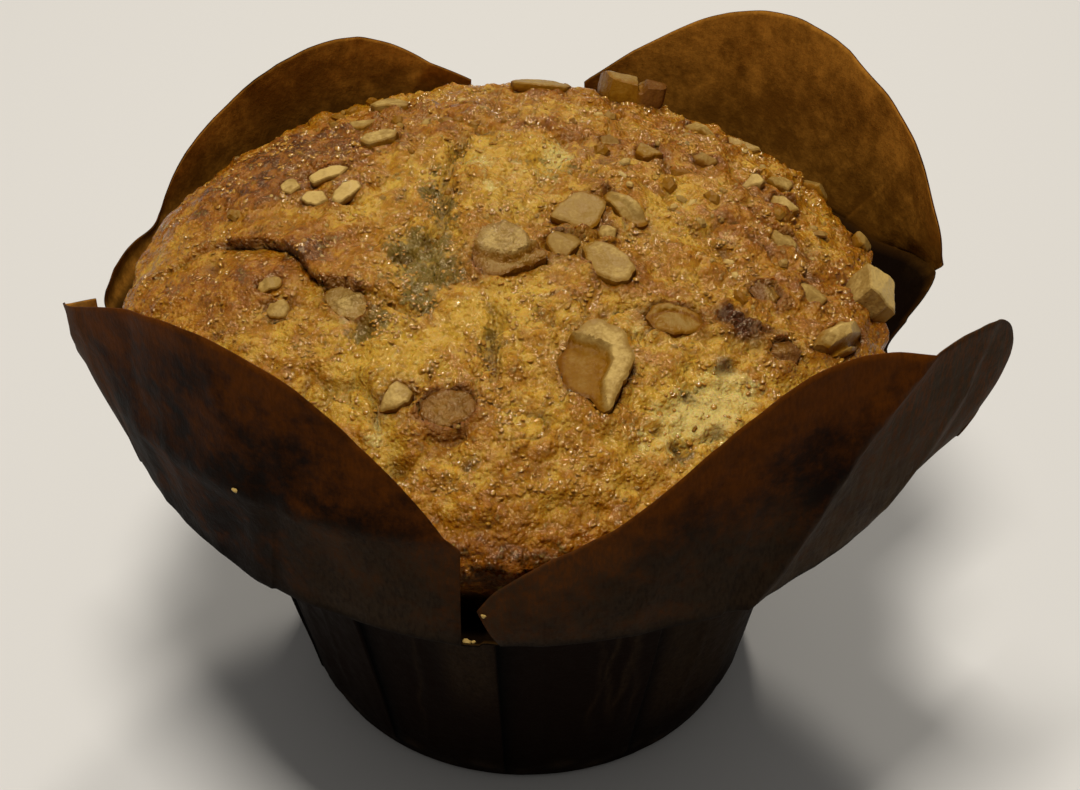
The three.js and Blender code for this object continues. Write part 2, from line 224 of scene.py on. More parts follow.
# %% Pleats
# Azimuth of each pleat's sharp edge, how many degrees it takes to rise to that edge,
# its depth at the rim in mm, and the side that it falls away on.
PLEATS = [
    (8, 14, 0.9, 1), (33, 16, 1.1, -1), (58, 14, 0.8, 1), (92, 18, 1.1, 1), (118, 14, 0.8, -1),
    (147, 17, 1.1, 1), (172, 15, 0.8, -1), (203, 16, 0.9, 1), (235, 15, 1, 1),
    (264.3, 21, 1.35, 1), (296, 12, 1.3, 1), (322, 17, 1, 1),
]
PLEAT_DROP = 0.5      # degrees from a pleat's sharp edge back to the wall
TUCK_WIDTH = 2.2      # degrees over which the fold beside that edge lies in its own shade


def pleat_at(azimuth):
    """How far the pleats stand out at the rim, and how deep the painted shade beside each sharp edge is,
    at each azimuth.
    """
    depth, tuck_shade = np.zeros(azimuth.shape), np.zeros(azimuth.shape)
    for edge, width, high, side in PLEATS:
        past = (((azimuth - edge + 540) % 360) - 180) * side
        rising = ease(1 + past / width) * (past <= 0)
        falling = np.clip(1 - past / PLEAT_DROP, 0, 1) * (past > 0)
        hollow = 0.4 * high * np.exp(-((past - PLEAT_DROP - 1) / 1.1) ** 2) * (past > 0)
        depth = np.maximum(depth, high * (rising + falling)) - hollow
        shade = np.exp(-np.maximum(past - PLEAT_DROP, 0) / TUCK_WIDTH) * (past > 0.1)
        tuck_shade = np.maximum(tuck_shade, shade)
    return depth, tuck_shade


print(len(PLEATS), "pleats, the deepest", max(high for _, _, high, _ in PLEATS), "mm")

# %% [markdown]
# ## Paper cup: one grid for the whole sheet
#
# Gathered paper doesn't wave evenly. Each pleat rises slowly and then falls back over a
# sharp edge, where the sheet is folded under itself. So the columns are placed every
# three quarters of a degree, with a few more close to each sharp edge, and the rows
# stand closer together at the fold, which keeps that crease crisp.

# %% Columns of the sheet
COLUMN_STEP = 0.75
NEAR_PLEAT = (-0.3, 0.0, 0.25, 0.5, 1.0)
NEAR_END = 0.3        # degrees beside a petal's end that are left free of other columns


def sheet_columns():
    """Azimuths of the columns, each with its petal and how far along that petal it is."""
    even = np.arange(0, 360, COLUMN_STEP)
    sharp = [(edge + near * side) % 360 for edge, _, _, side in PLEATS for near in NEAR_PLEAT]
    ends = [azimuth for start, stop, _ in PETALS.values() for azimuth in (start, stop)]
    loose = np.array(sorted(set(np.round(list(even) + sharp, 3))))
    kept = [azimuth for azimuth in loose if min(abs(azimuth - end) for end in ends) > NEAR_END]
    found = []
    for azimuth in sorted(kept + ends):
        petal = next((n for n, (start, stop, _) in PETALS.items() if start <= azimuth <= stop), None)
        start, stop, _ = PETALS[petal] if petal else (azimuth, azimuth + 1, None)
        found.append((azimuth, petal, (azimuth - start) / (stop - start)))
    return found


columns = sheet_columns()
print(len(columns), "columns,", sum(1 for c in columns if c[1]), "of them in petals")

# %% Rows up to the fold
FLOOR_RINGS = (5, 10, 15, 19, 22)
CORNER_STEPS = 4
WALL_STEPS = 22
COLLAR_STEPS = (0.18, 0.36, 0.55, 0.74, 0.9, 0.985, 1.0)
PLEAT_AT_BASE = 0.15  # share of a pleat's depth that it has at the base
PLEAT_AT_FOLD = 0.25  # and at the fold
COLLAR_BOW = 0.45     # mm that the collar sags between rim and fold


def wall_profile(pleat, fold_radius, fold_height):
    """Radius, height and share of crinkling for each row from the floor to the fold."""
    rows = [(r, 0.0, 0.15) for r in FLOOR_RINGS]
    for angle in np.linspace(0, math.pi / 2, CORNER_STEPS):
        radius = FLOOR_RADIUS + (BASE_RADIUS - FLOOR_RADIUS) * math.sin(angle)
        rows.append((radius, BASE_ROUND * (1 - math.cos(angle)), 0.2))
    for step in range(1, WALL_STEPS + 1):
        part = step / WALL_STEPS
        height = BASE_ROUND + (RIM_HEIGHT - BASE_ROUND) * part
        straight = BASE_RADIUS + (RIM_RADIUS - BASE_RADIUS) * height / RIM_HEIGHT
        rows.append((straight + pleat * (PLEAT_AT_BASE + (1 - PLEAT_AT_BASE) * part), height, 0.6))
    rim = RIM_RADIUS + pleat
    for part in COLLAR_STEPS:
        bow = math.sin(math.pi * part) * COLLAR_BOW
        rows.append((rim + (fold_radius + PLEAT_AT_FOLD * pleat - rim) * part,
                     RIM_HEIGHT + (fold_height - RIM_HEIGHT) * part - bow, 0.8))
    return rows


print(len(wall_profile(0, *FOLD[0, 1:])), "rows up to the fold")

# %% Rows of the petals
PETAL_STEPS = np.concatenate([[0.012, 0.04], np.linspace(0.08, 0.97, 23), [1.0]])


def edge_point(points, t):
    """Azimuth, radius and height on a petal's edge, on a smooth curve through its points."""
    points = np.array(points, float)
    along = t * (len(points) - 1)
    first = min(int(along), len(points) - 2)
    t = along - first
    before = points[first - 1] if first > 0 else 2 * points[0] - points[1]
    start, end = points[first], points[first + 1]
    after = points[first + 2] if first + 2 < len(points) else 2 * points[-1] - points[-2]
    runs = ((before, start), (start, end), (end, after))
    d0, d1, d2 = (np.sqrt(np.linalg.norm(b - a)) for a, b in runs)
    leave = d1 * ((start - before) / d0 - (end - before) / (d0 + d1) + (end - start) / d1)
    arrive = d1 * ((end - start) / d1 - (after - start) / (d1 + d2) + (after - end) / d2)
    return (start + leave * t + (3 * (end - start) - 2 * leave - arrive) * t * t
            + (2 * (start - end) + leave + arrive) * t ** 3)


print(len(PETAL_STEPS), "rows in each petal, the highest edge at",
      max(height for _, _, edge in PETALS.values() for _, _, height in edge), "mm")

# %% [markdown]
# ## Paper cup: creases and crumple
#
# A sheet of baking paper that was pressed, filled, baked and opened again has long
# soft waves, a few straight creases where it was bent hard, and fine crumpling that
# mostly runs upwards. Waves are noise. A crease is a ridge that falls away on both
# sides of a line, and it is deepest on the line itself.

# %% Creases of the sheet
ARC = math.radians(1) * PETAL_RADIUS      # mm along the petals for one degree

# Each crease: how far it pushes the sheet out, how wide it falls away, then its course
# in azimuth and height.
CREASES = [
    (1.5, 2.4, [(299.5, 42), (304, 46), (308.5, 53), (312, 58), (316, 62), (324, 67)]),
    (-0.6, 3, [(330, 44), (334, 52), (337, 60)]),
    (0.5, 1.2, [(323, 45), (331, 55), (336, 63)]),
    (0.35, 1.6, [(284, 43), (287, 50), (289, 58)]),
    (0.9, 3.4, [(212, 52.5), (220, 54), (232, 55), (246, 55.8), (263, 56.4)]),
    (-0.35, 1.8, [(214, 56), (211, 60), (213, 68)]),
    (0.4, 1.6, [(228, 56), (232, 62), (229, 70)]),
    (-0.4, 2, [(226, 43), (231, 49), (238, 55)]),
    (0.6, 2, [(186, 44), (191, 50), (200, 60)]),
    (-0.6, 1.5, [(108, 42), (109, 48), (106, 52)]),
    (0.5, 1.2, [(113, 42), (114, 49), (116, 56)]),
    (0.45, 2, [(133, 42), (131, 48), (134, 54)]),
    (0.55, 2, [(23, 43), (20, 50), (24, 57)]),
    (-0.4, 2.4, [(36, 42), (38, 52), (35, 61)]),
    (0.4, 1.8, [(55, 42), (57, 50), (54, 60)]),
    (0.5, 0.9, [(284, 8), (285.5, 20), (287, 34)]),
    (0.45, 0.8, [(290.5, 10), (291.5, 22), (290.5, 33)]),
    (0.4, 0.9, [(246, 6), (249, 20), (247, 34)]),
    (-0.4, 1, [(274, 4), (276, 18), (273, 30)]),
    (0.4, 0.8, [(222, 10), (224, 22), (222, 33)]),
    (0.4, 0.8, [(308, 8), (310, 20), (308, 33)]),
    (0.4, 0.8, [(22, 8), (24, 20), (21, 33)]),
    (0.4, 0.8, [(74, 6), (76, 20), (75, 33)]),
    (-0.4, 0.8, [(105, 6), (106, 20), (104, 33)]),
    (0.4, 0.8, [(160, 8), (158, 20), (160, 33)]),
]


def distance_to_path(x, y, path):
    """Distance from each point to an open path of straight runs, and the side it is on."""
    nearest = np.full(x.shape, 1e9)
    side = np.zeros(x.shape)
    for (ax, ay), (bx, by) in zip(path, path[1:]):
        run = np.array([bx - ax, by - ay])
        along = np.clip(((x - ax) * run[0] + (y - ay) * run[1]) / run.dot(run), 0, 1)
        away_x, away_y = x - ax - along * run[0], y - ay - along * run[1]
        away = np.hypot(away_x, away_y)
        closer = away < nearest
        side = np.where(closer, np.sign(run[0] * away_y - run[1] * away_x), side)
        nearest = np.minimum(nearest, away)
    return nearest, side


print(len(CREASES), "creases, the sharpest pushed", max(abs(c[0]) for c in CREASES), "mm")

# %% Waves of the sheet
def noise_at(points, size, seed):
    """Smooth noise from about -1 to 1 at each point, with lumps about size mm across."""
    shift = Vector((17.3, -9.1, 5.7)) * seed
    scale = 1 / size
    return np.array([noise.noise(Vector(p) * scale + shift) for p in points])


def polar(azimuth, radius, height):
    """A point in mm from its azimuth in degrees, its radius and its height."""
    angle = np.radians(azimuth)
    return np.stack([radius * np.cos(angle), radius * np.sin(angle), height], axis=-1)


def sheet_relief(azimuth, height):
    """How far the sheet is pushed out of its smooth shape, in mm, by creases and waves."""
    around = polar(azimuth, np.full(azimuth.shape, float(PETAL_RADIUS)), height)
    waves = 0.34 * noise_at(around, 17, 1) + 0.12 * noise_at(around, 6, 2)
    upright = around * np.array([1, 1, 0.22])
    folds = 0.16 * (0.5 - np.abs(noise_at(upright, 4.2, 3)) * 2.2)
    relief = waves + folds + 0.035 * noise_at(around, 1.6, 4)
    for depth, reach, course in CREASES:
        away, _ = distance_to_path(azimuth * ARC, height, [(a * ARC, h) for a, h in course])
        relief += depth * np.exp(-away / reach)
    return relief


print("waves up to", round(float(np.abs(sheet_relief(*FOLD[:, [0, 2]].T)).max()), 1), "mm along the fold")

# %% Sheet of paper
FAR_FROM_EDGE = 60.0      # mm to the free edge, given to the middle of the floor


def paper_sheet():
    """Points in mm, faces, and where each point is: azimuth, height, mm to the free edge."""
    azimuths = np.array([column[0] for column in columns])
    pleats, tuck_shades = pleat_at(azimuths)
    fold_radius, fold_height = fold_at(azimuths)
    place = [(0.0, 0.0, 0.0)]
    share, to_edge, tuck_shade = [0.0], [FAR_FROM_EDGE], [0.0]
    grid = []
    for i, (azimuth, petal, t) in enumerate(columns):
        rows = wall_profile(pleats[i], fold_radius[i], fold_height[i])
        edge = edge_point(PETALS[petal][2], t) if petal else (azimuth, fold_radius[i], fold_height[i])
        column = list(range(len(place), len(place) + len(rows)))
        place += [(azimuth, radius, height) for radius, height, _ in rows]
        share += [loose for _, _, loose in rows]
        to_edge += [edge[2] - height + (0 if petal else 8) for _, height, _ in rows]
        tuck_shade += [tuck_shades[i] * (height > 1) * (1 - ease((height - RIM_HEIGHT) / 4)) for _, height, _ in rows]
        for up in PETAL_STEPS if petal else ():
            column.append(len(place))
            belly = PETAL_BELLY * math.sin(math.pi * up) + PLEAT_AT_FOLD * pleats[i] * (1 - up) ** 2
            height = fold_height[i] + (edge[2] - fold_height[i]) * up
            place.append((azimuth + (edge[0] - azimuth) * up,
                          fold_radius[i] + (edge[1] - fold_radius[i]) * up + belly, height))
            share.append(1.0)
            to_edge.append(edge[2] - height)
            tuck_shade.append(0.0)
        grid.append((petal, column))
    place, share = np.array(place), np.array(share)
    place[:, 1] += share * sheet_relief(place[:, 0], place[:, 2])
    points = polar(place[:, 0], place[:, 1], place[:, 2])
    points[place[:, 2] < 0.01, 2] = 0
    faces = []
    shared_rows = min(len(column) for _, column in grid)
    for i, (petal, column) in enumerate(grid):
        next_petal, following = grid[(i + 1) % len(grid)]
        height = len(column) if petal and petal == next_petal else shared_rows
        faces.append((0, following[0], column[0]))
        for row in range(height - 1):
            faces.append((column[row], following[row], following[row + 1], column[row + 1]))
    return points, faces, place[:, 0], place[:, 2], np.array(to_edge), np.array(tuck_shade)


paper_points, paper_faces, paper_azimuth, paper_height, paper_to_edge, paper_tuck_shade = paper_sheet()
print(len(paper_faces), "faces, spanning", np.round(np.ptp(paper_points, axis=0), 1), "mm")

# %% [markdown]
# ## How a material is put together
#
# Nothing baked or made of paper has one colour. Each material starts from a few named
# colours and mixes them with noise read in Object coordinates, so the pattern keeps
# its real size, and with attributes painted on the points, so that a crack, a fold or
# a scorched edge gets the colour that belongs to it. Every material here does that with
# the same few nodes, so a small class keeps those calls short.

# %% Recipe for a material
def add_node(tree, kind, inputs, output=0, **settings):
    """A node with each input linked or set, by name or number; gives back one output."""
    node = tree.nodes.new(kind)
    for key, value in settings.items():
        setattr(node, key, value)
    for key, value in inputs.items():
        if isinstance(value, bpy.types.NodeSocket):
            tree.links.new(value, node.inputs[key])
        else:
            node.inputs[key].default_value = value
    return node.outputs[output]


class Recipe:
    """A node material being put together, with short calls for the common nodes."""

    def __init__(self, name):
        self.material = bpy.data.materials.new(name)
        self.material.use_nodes = True
        self.place = self.add("ShaderNodeTexCoord", {}, "Object")

    def add(self, kind, inputs, output=0, **settings):
        return add_node(self.material.node_tree, kind, inputs, output, **settings)

    def noise(self, size, detail=3, rough=0.55, stretch=(1, 1, 1), turn=(0, 0, 0)):
        """Noise whose lumps are about size mm across, from 0 to 1."""
        place = self.add("ShaderNodeMapping", {
            "Vector": self.place, "Rotation": turn, "Scale": stretch})
        return self.add("ShaderNodeTexNoise", {
            "Vector": place, "Scale": 1 / (size * MM), "Detail": detail, "Roughness": rough}, "Fac")

    def cells(self, size):
        """Distance to the nearest cell centre, with cells about size mm across."""
        return self.add("ShaderNodeTexVoronoi", {
            "Vector": self.place, "Scale": 1 / (size * MM)}, "Distance")

    def painted(self, name):
        return self.add("ShaderNodeAttribute", {}, "Fac", attribute_name=name)

    def spread(self, value, low, high, to_low=0.0, to_high=1.0):
        """Stretches a value so that low..high becomes to_low..to_high, eased and clamped."""
        return self.add("ShaderNodeMapRange", {
            "Value": value, "From Min": low, "From Max": high, "To Min": to_low, "To Max": to_high},
            "Result", interpolation_type="SMOOTHSTEP")

    def math(self, operation, first, second):
        return self.add("ShaderNodeMath", {0: first, 1: second}, "Value", operation=operation)

    def uneven(self, value, *noises):
        """Moves a value up and down by an amount for each noise, read from low to high."""
        for source, low, high, amount in noises:
            value = self.math("ADD", value, self.spread(source, low, high, -amount, amount))
        return value

    def mix(self, amount, first, second):
        """Mixes two colours, each a socket or three numbers, by an amount."""
        first, second = ((*c, 1) if isinstance(c, tuple) else c for c in (first, second))
        return self.add("ShaderNodeMix", {0: amount, 6: first, 7: second}, 2,
                        data_type="RGBA", clamp_factor=True)

    def bump(self, *layers):
        """Relief from heights between 0 and 1, each with the depth in mm that 1 stands for."""
        below = {}
        for height, depth in layers:
            inputs = {"Height": height, "Distance": depth * MM, **below}
            normal = self.add("ShaderNodeBump", inputs, "Normal")
            below = {"Normal": normal}
        return normal

    def finish(self, color, roughness, normal, **constants):
        """Links what varies and sets what is the same all over, on the shader itself."""
        tree = self.material.node_tree
        shader = tree.nodes["Principled BSDF"]
        for key, socket in (("Base Color", color), ("Roughness", roughness), ("Normal", normal)):
            tree.links.new(socket, shader.inputs[key])
        for key, value in constants.items():
            shader.inputs[key.replace("_", " ")].default_value = value
        return self.material


print("recipes use", ", ".join(name for name in vars(Recipe) if name[0] != "_"))

# %% [markdown]
# ## Paper: what it looks like
#
# Baking paper for cups like this is dyed dark brown right through and greased. Where fat has soaked in,
# on the wall and the collar, it is almost black, and that black is made deeper as painted shade, because
# the wall stands under the petals and the crown. Near the free edges of the petals the light that comes
# through the sheet is painted in as a mottled orange brown, cloudy at every size from a centimetre down
# to the fibres, and creases rub paler. Both sides share this recipe, but the inside is painted far warmer
# and lighter than the outside: partly because it is nearer the fat and sugar, and partly as painted light
# on the inside of the back petals and painted shade on the outside of the front ones.

# %% Paper materials
# Turn of the fine streaks in the painted sheen on the right petal's flare.
STREAK_TURN = (math.radians(-38), math.radians(20), 0)
TUCK_SHADE_BLACK = (0.0006, 0.0003, 0.0002)


def paper_material(name, soaked_and_shaded, warm, grey):
    """Dyed paper: near black where greased and in painted shade, warm and cloudy with painted light near
    the crust, grey where worn and under the painted sheen, black in the painted shade beside a pleat.
    """
    paper = Recipe(name)
    clouds = paper.noise(8, detail=5, rough=0.62)
    mottle = paper.noise(1.7, detail=4, rough=0.7)
    fibre = paper.noise(0.35, detail=2, rough=0.6, stretch=(1, 1, 0.35))
    streaks = paper.noise(0.8, detail=3, rough=0.6, stretch=(1, 1, 0.06), turn=STREAK_TURN)
    warmth = paper.uneven(paper.painted("warmth"), (clouds, 0.3, 0.7, 0.26), (mottle, 0.3, 0.7, 0.16))
    color = paper.mix(paper.spread(warmth, 0.0, 1.05), soaked_and_shaded, warm)
    # Grey where the paper is worn, and grey with fine streaks where the flare carries a painted sheen.
    sheen_streaked = paper.spread(streaks, 0.42, 0.72, 0.0, 0.75)
    sheen_streaked = paper.math("MULTIPLY", sheen_streaked, paper.painted("sheen_streaked"))
    dusty = paper.math("ADD", paper.spread(fibre, 0.3, 0.7, 0.3, 0.95), sheen_streaked)
    dusty = paper.math("MULTIPLY", paper.painted("rubbed_and_sheen"), dusty)
    color = paper.mix(dusty, color, grey)
    color = paper.mix(paper.spread(fibre, 0.35, 0.65, 0.0, 0.22), color, soaked_and_shaded)
    # Painted shade: a tuck beside a pleat's sharp edge, and the collar under the crown, are mixed almost
    # to black.
    color = paper.mix(paper.math("MULTIPLY", paper.painted("tuck_shade"), 0.97), color, TUCK_SHADE_BLACK)
    roughness = paper.spread(mottle, 0.3, 0.7, 0.58, 0.72)
    normal = paper.bump((fibre, 0.03), (mottle, 0.14))
    return paper.finish(color, roughness, normal, Specular_IOR_Level=0.03)


# The outside is the shaded copy and the inside the lit copy: their colours differ by painted shade and
# painted light as well as by fat.
paper_outside_shaded = paper_material("paper_outside_shaded", soaked_and_shaded=(0.006, 0.0024, 0.0009),
                               warm=(0.11, 0.029, 0.0018), grey=(0.050, 0.030, 0.0145))
paper_inside_lit = paper_material("paper_inside_lit", soaked_and_shaded=(0.14, 0.052, 0.005),
                              warm=(0.51, 0.215, 0.026), grey=(0.36, 0.19, 0.045))
print("paper in", len(paper_outside_shaded.node_tree.nodes), "nodes a side")

# %% Paper cup
def add_object(name, points, faces, materials):
    """A smooth-shaded mesh object from points in mm."""
    mesh = bpy.data.meshes.new(name)
    mesh.from_pydata((np.asarray(points) * MM).tolist(), [], faces)
    mesh.shade_smooth()
    piece = bpy.data.objects.new(name, mesh)
    for material in materials:
        mesh.materials.append(material)
    bpy.context.scene.collection.objects.link(piece)
    return piece


def add_attribute(piece, name, values):
    layer = piece.data.attributes.new(name, "FLOAT", "POINT")
    layer.data.foreach_set("value", np.asarray(values, np.float32))


paper_cup = add_object("folded_paper_cup", paper_points, paper_faces, [paper_outside_shaded, paper_inside_lit])
sheet = paper_cup.modifiers.new("sheet", "SOLIDIFY")
sheet.thickness = PAPER_THICKNESS * MM
sheet.offset = -1
sheet.material_offset = 1
print("paper cup made with", len(paper_cup.data.polygons), "faces")

# %% [markdown]
# ## Paper: wear, fat, painted sheen, painted light and painted shade
#
# The wear follows the folding. The turned-down collar was handled most and is rubbed grey, fine straight
# streaks run up the wall where it was creased, and the corner round the base is scuffed, with painted
# highlights along its crinkles. The flare of the right petal is painted grey and streaked as a painted
# sheen, where it turns to the light. The free edges are warm with painted light coming through the paper
# and with fat, and a tuck is painted black as painted shade, because it lies under its own fold, and so
# is the collar under the crown. All of that is painted on the points, and the material breaks it up.

# %% Rubbed places and the painted sheen
# How strongly, then from and to in azimuth and how softly, and the same in height.
RUBBED = [
    (0.8, (238, 264, 18), (38, 55.4, 3)), (0.7, (262, 306, 8), (38, 55, 9)),
    (0.5, (254, 264.2, 5), (18, 37, 12)), (0.45, (299, 332, 6), (8, 37, 10)),
]
# Azimuth and strength of each streak up the wall.
STREAKS = [(284.6, 0.3), (287.8, 0.5), (290.2, 0.6), (292.6, 0.35), (246.5, 0.3), (312, 0.5)]
PETALS_FROM = 42      # mm up: a point above this is on a petal


def between(value, low, high, softness):
    """1 between low and high, 0 outside, with an eased step at either end."""
    return ease((value - low) / softness + 0.5) * ease((high - value) / softness + 0.5)


def paper_wear_and_sheen(azimuth, height):
    """How grey each point of the sheet is from wear and from painted sheen, and how much of the right
    petal's painted sheen it carries, from 0 to 1.
    """
    # The flare of the right petal, beyond its crease, turns to catch the light: it is painted grey as a
    # painted sheen.
    away, side = distance_to_path(azimuth * ARC, height, [(a * ARC, h) for a, h in CREASES[0][2]])
    flare_sheen = np.where(side < 0, 1 - 0.45 * np.exp(-away / 3), 0)
    flare_sheen = flare_sheen * between(azimuth, 299, 345, 3) * (height > PETALS_FROM)
    left_end = 0.65 * between(azimuth, 176, 202, 12) * (height > PETALS_FROM)
    grey = np.maximum(0.95 * flare_sheen, left_end)
    for strength, across, up in RUBBED:
        grey = np.maximum(grey, strength * between(azimuth, *across) * between(height, *up))
    for streak, strength in STREAKS:
        bend = 0.9 * np.sin(height / 3.7 + streak) + 0.4 * np.sin(height / 1.3)
        line = np.exp(-((azimuth - streak - bend) / 0.5) ** 2)
        grey = np.maximum(grey, strength * line * between(height, 9 + strength * 8, 35, 9))
    # The crinkled band round the base corner: scuffs, with painted highlights along the crinkles.
    corner = np.exp(-((height - 2.4 - 0.7 * np.sin(azimuth / 3.1)) / 0.7) ** 2)
    corner *= 0.55 + 0.45 * np.sin(azimuth / 5.3) * np.sin(azimuth / 2.1)
    return np.maximum(grey, 0.8 * corner), flare_sheen


paper_rubbed_and_sheen, paper_sheen_streaked = paper_wear_and_sheen(paper_azimuth, paper_height)
print("rubbed over", round(100 * float((paper_rubbed_and_sheen > 0.3).mean())), "% of the sheet's points")

# %% Paint the paper
from_edge = np.maximum(paper_to_edge, 0)
# Near the free edges the sheet is painted warm: painted light coming through the paper, and fat.
near_edge = np.exp(-from_edge / 7) - 0.25 * np.exp(-from_edge / 0.8)
on_petal = ease((paper_height - 41) / 3)
back_left = ease((paper_azimuth - 112) / 12) * (paper_azimuth < 178)
front_right = ease((paper_azimuth - 290) / 14) * (paper_azimuth < 345)
light_and_fat_glow = 0.14 + (0.72 + 0.35 * front_right) * near_edge - 0.25 * back_left
_, paper_fold_height = fold_at(paper_azimuth)
# The collar under the crown, seen through the slits between the petals, is painted dark with the tucks,
# as painted shade.
collar_shade = ease((paper_height - 33) / 3) * ease((paper_fold_height + 1 - paper_height) / 1.5)

# Below the petals the warmth is pushed under zero, so the wall and collar take the dark greased colour in
# full, made darker as painted shade.
add_attribute(paper_cup, "warmth", on_petal * light_and_fat_glow - 0.35 * (1 - on_petal))
add_attribute(paper_cup, "rubbed_and_sheen", paper_rubbed_and_sheen)
add_attribute(paper_cup, "sheen_streaked", paper_sheen_streaked)
add_attribute(paper_cup, "tuck_shade", np.maximum(paper_tuck_shade, collar_shade))
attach(paper_cup, "root")
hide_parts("paper_cup")
print("painted", ", ".join(a.name for a in paper_cup.data.attributes if a.data_type == "FLOAT"))

# %% [markdown]
# ## Muffin: its overall shape
#
# Below the rim the body just fills the cup. Above it the batter rose, spread over the
# collar and set as a low dome with a few soft swellings. One smooth rule gives the
# height of that dome, and it is the same rule that the plain model follows.

# %% Dome of the crown
CROWN_X = -2.5
CROWN_RADIUS_X, CROWN_RADIUS_Y = 41, 40.3
RING_HEIGHT = 48.5
CROWN_RISE = 11
SHOULDER = 0.65
SWELLS = [
    (-25, 14, 12, 1.3), (-3, 17, 12, 1.1), (-8, -1, 9, 0.7), (20, 7, 12, 0.6),
    (-2, -23, 12, 0.5), (-29, -9, 10, 0.4),
]
# Radius and height of the body from the underside of the crown down to the floor, and
# how far each ring is shifted with the crown.
BODY_RINGS = [
    (40.9, 47.2, 1), (40.6, 46, 0.9), (40, 44.8, 0.8), (39.2, 43.6, 0.7), (37.6, 41.7, 0.5),
    (35.6, 39.9, 0.25), (33.8, 38.2, 0.1), (32.1, 36.6, 0), (31.4, 34, 0), (30.6, 30, 0),
    (29.65, 25, 0), (28.4, 19, 0), (27.2, 14, 0), (26, 8, 0), (24.7, 2.6, 0), (22.5, 0.9, 0),
    (15, 0.9, 0), (7, 0.9, 0),
]


def dome_height(x, y):
    edge = np.clip(1 - ((x - CROWN_X) / CROWN_RADIUS_X) ** 2 - (y / CROWN_RADIUS_Y) ** 2, 0, 1)
    height = RING_HEIGHT + CROWN_RISE * edge ** SHOULDER
    for cx, cy, radius, rise in SWELLS:
        far = ((x - cx) ** 2 + (y - cy) ** 2) / radius ** 2
        height = height + rise * np.exp(-far) * np.minimum(1, edge * 4)
    return height


print("the left swell reaches", round(float(dome_height(*SWELLS[0][:2])), 1), "mm")

# %% Grid of the crown
ACROSS = 244                # quads across the crown


def crown_grid():
    """Points in mm, quads, and the numbers of the points round the edge in order.

    A square grid is pressed into a disc, ring by ring, and its rings crowd towards the
    edge, where the dome is steep.
    """
    steps = np.linspace(-1, 1, ACROSS + 1)
    a, b = np.meshgrid(steps, steps, indexing="ij")
    ring = np.maximum(np.abs(a), np.abs(b))
    wide = np.abs(a) >= np.abs(b)
    safe_a, safe_b = np.where(a == 0, 1e-9, a), np.where(b == 0, 1e-9, b)
    angle = np.where(wide, math.pi / 4 * b / safe_a, math.pi / 2 - math.pi / 4 * a / safe_b)
    side = np.where(wide, np.sign(safe_a), np.sign(safe_b))
    radius = np.sin(ring * math.pi / 2) * side
    x = CROWN_X + CROWN_RADIUS_X * radius * np.cos(angle)
    y = CROWN_RADIUS_Y * radius * np.sin(angle)
    crown = np.stack([x, y, dome_height(x, y)], axis=-1).reshape(-1, 3)
    number = np.arange((ACROSS + 1) ** 2).reshape(ACROSS + 1, ACROSS + 1)
    faces = np.stack([number[:-1, :-1], number[1:, :-1], number[1:, 1:], number[:-1, 1:]], axis=-1)
    rim = np.concatenate([number[:-1, 0], number[-1, :-1], number[:0:-1, -1], number[0, :0:-1]])
    return crown, faces.reshape(-1, 4).tolist(), rim


plain_crown, crust_faces, crown_rim = crown_grid()
crown_count = len(plain_crown)
print(crown_count, "points on the crown,", len(crown_rim), "of them round its edge")

# %% Rings of the body
def with_body(crown, faces, rim):
    """The outermost ring of the crown carried on down the body, and closed below."""
    angles = np.arctan2(crown[rim, 1] / CROWN_RADIUS_Y, (crown[rim, 0] - CROWN_X) / CROWN_RADIUS_X)
    points, last, total = [crown], rim, len(crown)
    for radius, height, shift in BODY_RINGS:
        squeeze = 1 + (CROWN_RADIUS_Y / CROWN_RADIUS_X - 1) * shift
        points.append(np.stack([CROWN_X * shift + radius * np.cos(angles),
                                radius * squeeze * np.sin(angles),
                                np.full(len(rim), float(height))], axis=-1))
        this = total + np.arange(len(rim))
        total += len(rim)
        for i in range(len(rim)):
            j = (i + 1) % len(rim)
            faces.append((last[i], this[i], this[j], last[j]))
        last = this
    points.append(np.array([[0, 0, BODY_RINGS[-1][1]]]))
    for i in range(len(rim)):
        faces.append((last[(i + 1) % len(rim)], last[i], total))
    return np.concatenate(points), [tuple(int(n) for n in face) for face in faces]


def outward(points, faces):
    """Unit vectors pointing out of a surface at each of its points."""
    quads = np.array([face if len(face) == 4 else (*face, face[0]) for face in faces])
    across = np.cross(points[quads[:, 2]] - points[quads[:, 0]],
                      points[quads[:, 3]] - points[quads[:, 1]])
    normals = np.zeros_like(points)
    for corner in range(4):
        np.add.at(normals, quads[:, corner], across)
    return normals / np.maximum(np.linalg.norm(normals, axis=1, keepdims=True), 1e-12)


crust_points, crust_faces = with_body(plain_crown, crust_faces, crown_rim)
crust_out = outward(crust_points, crust_faces)
print(len(crust_faces), "faces in the whole muffin")

# %% [markdown]
# ## Pieces of nut: where they lie
#
# The plain model already holds every piece of nut at its place, so each is measured
# rather than placed again: its middle, the way out of the crust there, and its outline
# seen along that way. Broken nuts are flat faces and crisp corners, so the larger ones
# are given an outline of their own, which is fitted to the measured size. The crown
# needs all this too, because it rose round each piece and holds it in a dent.

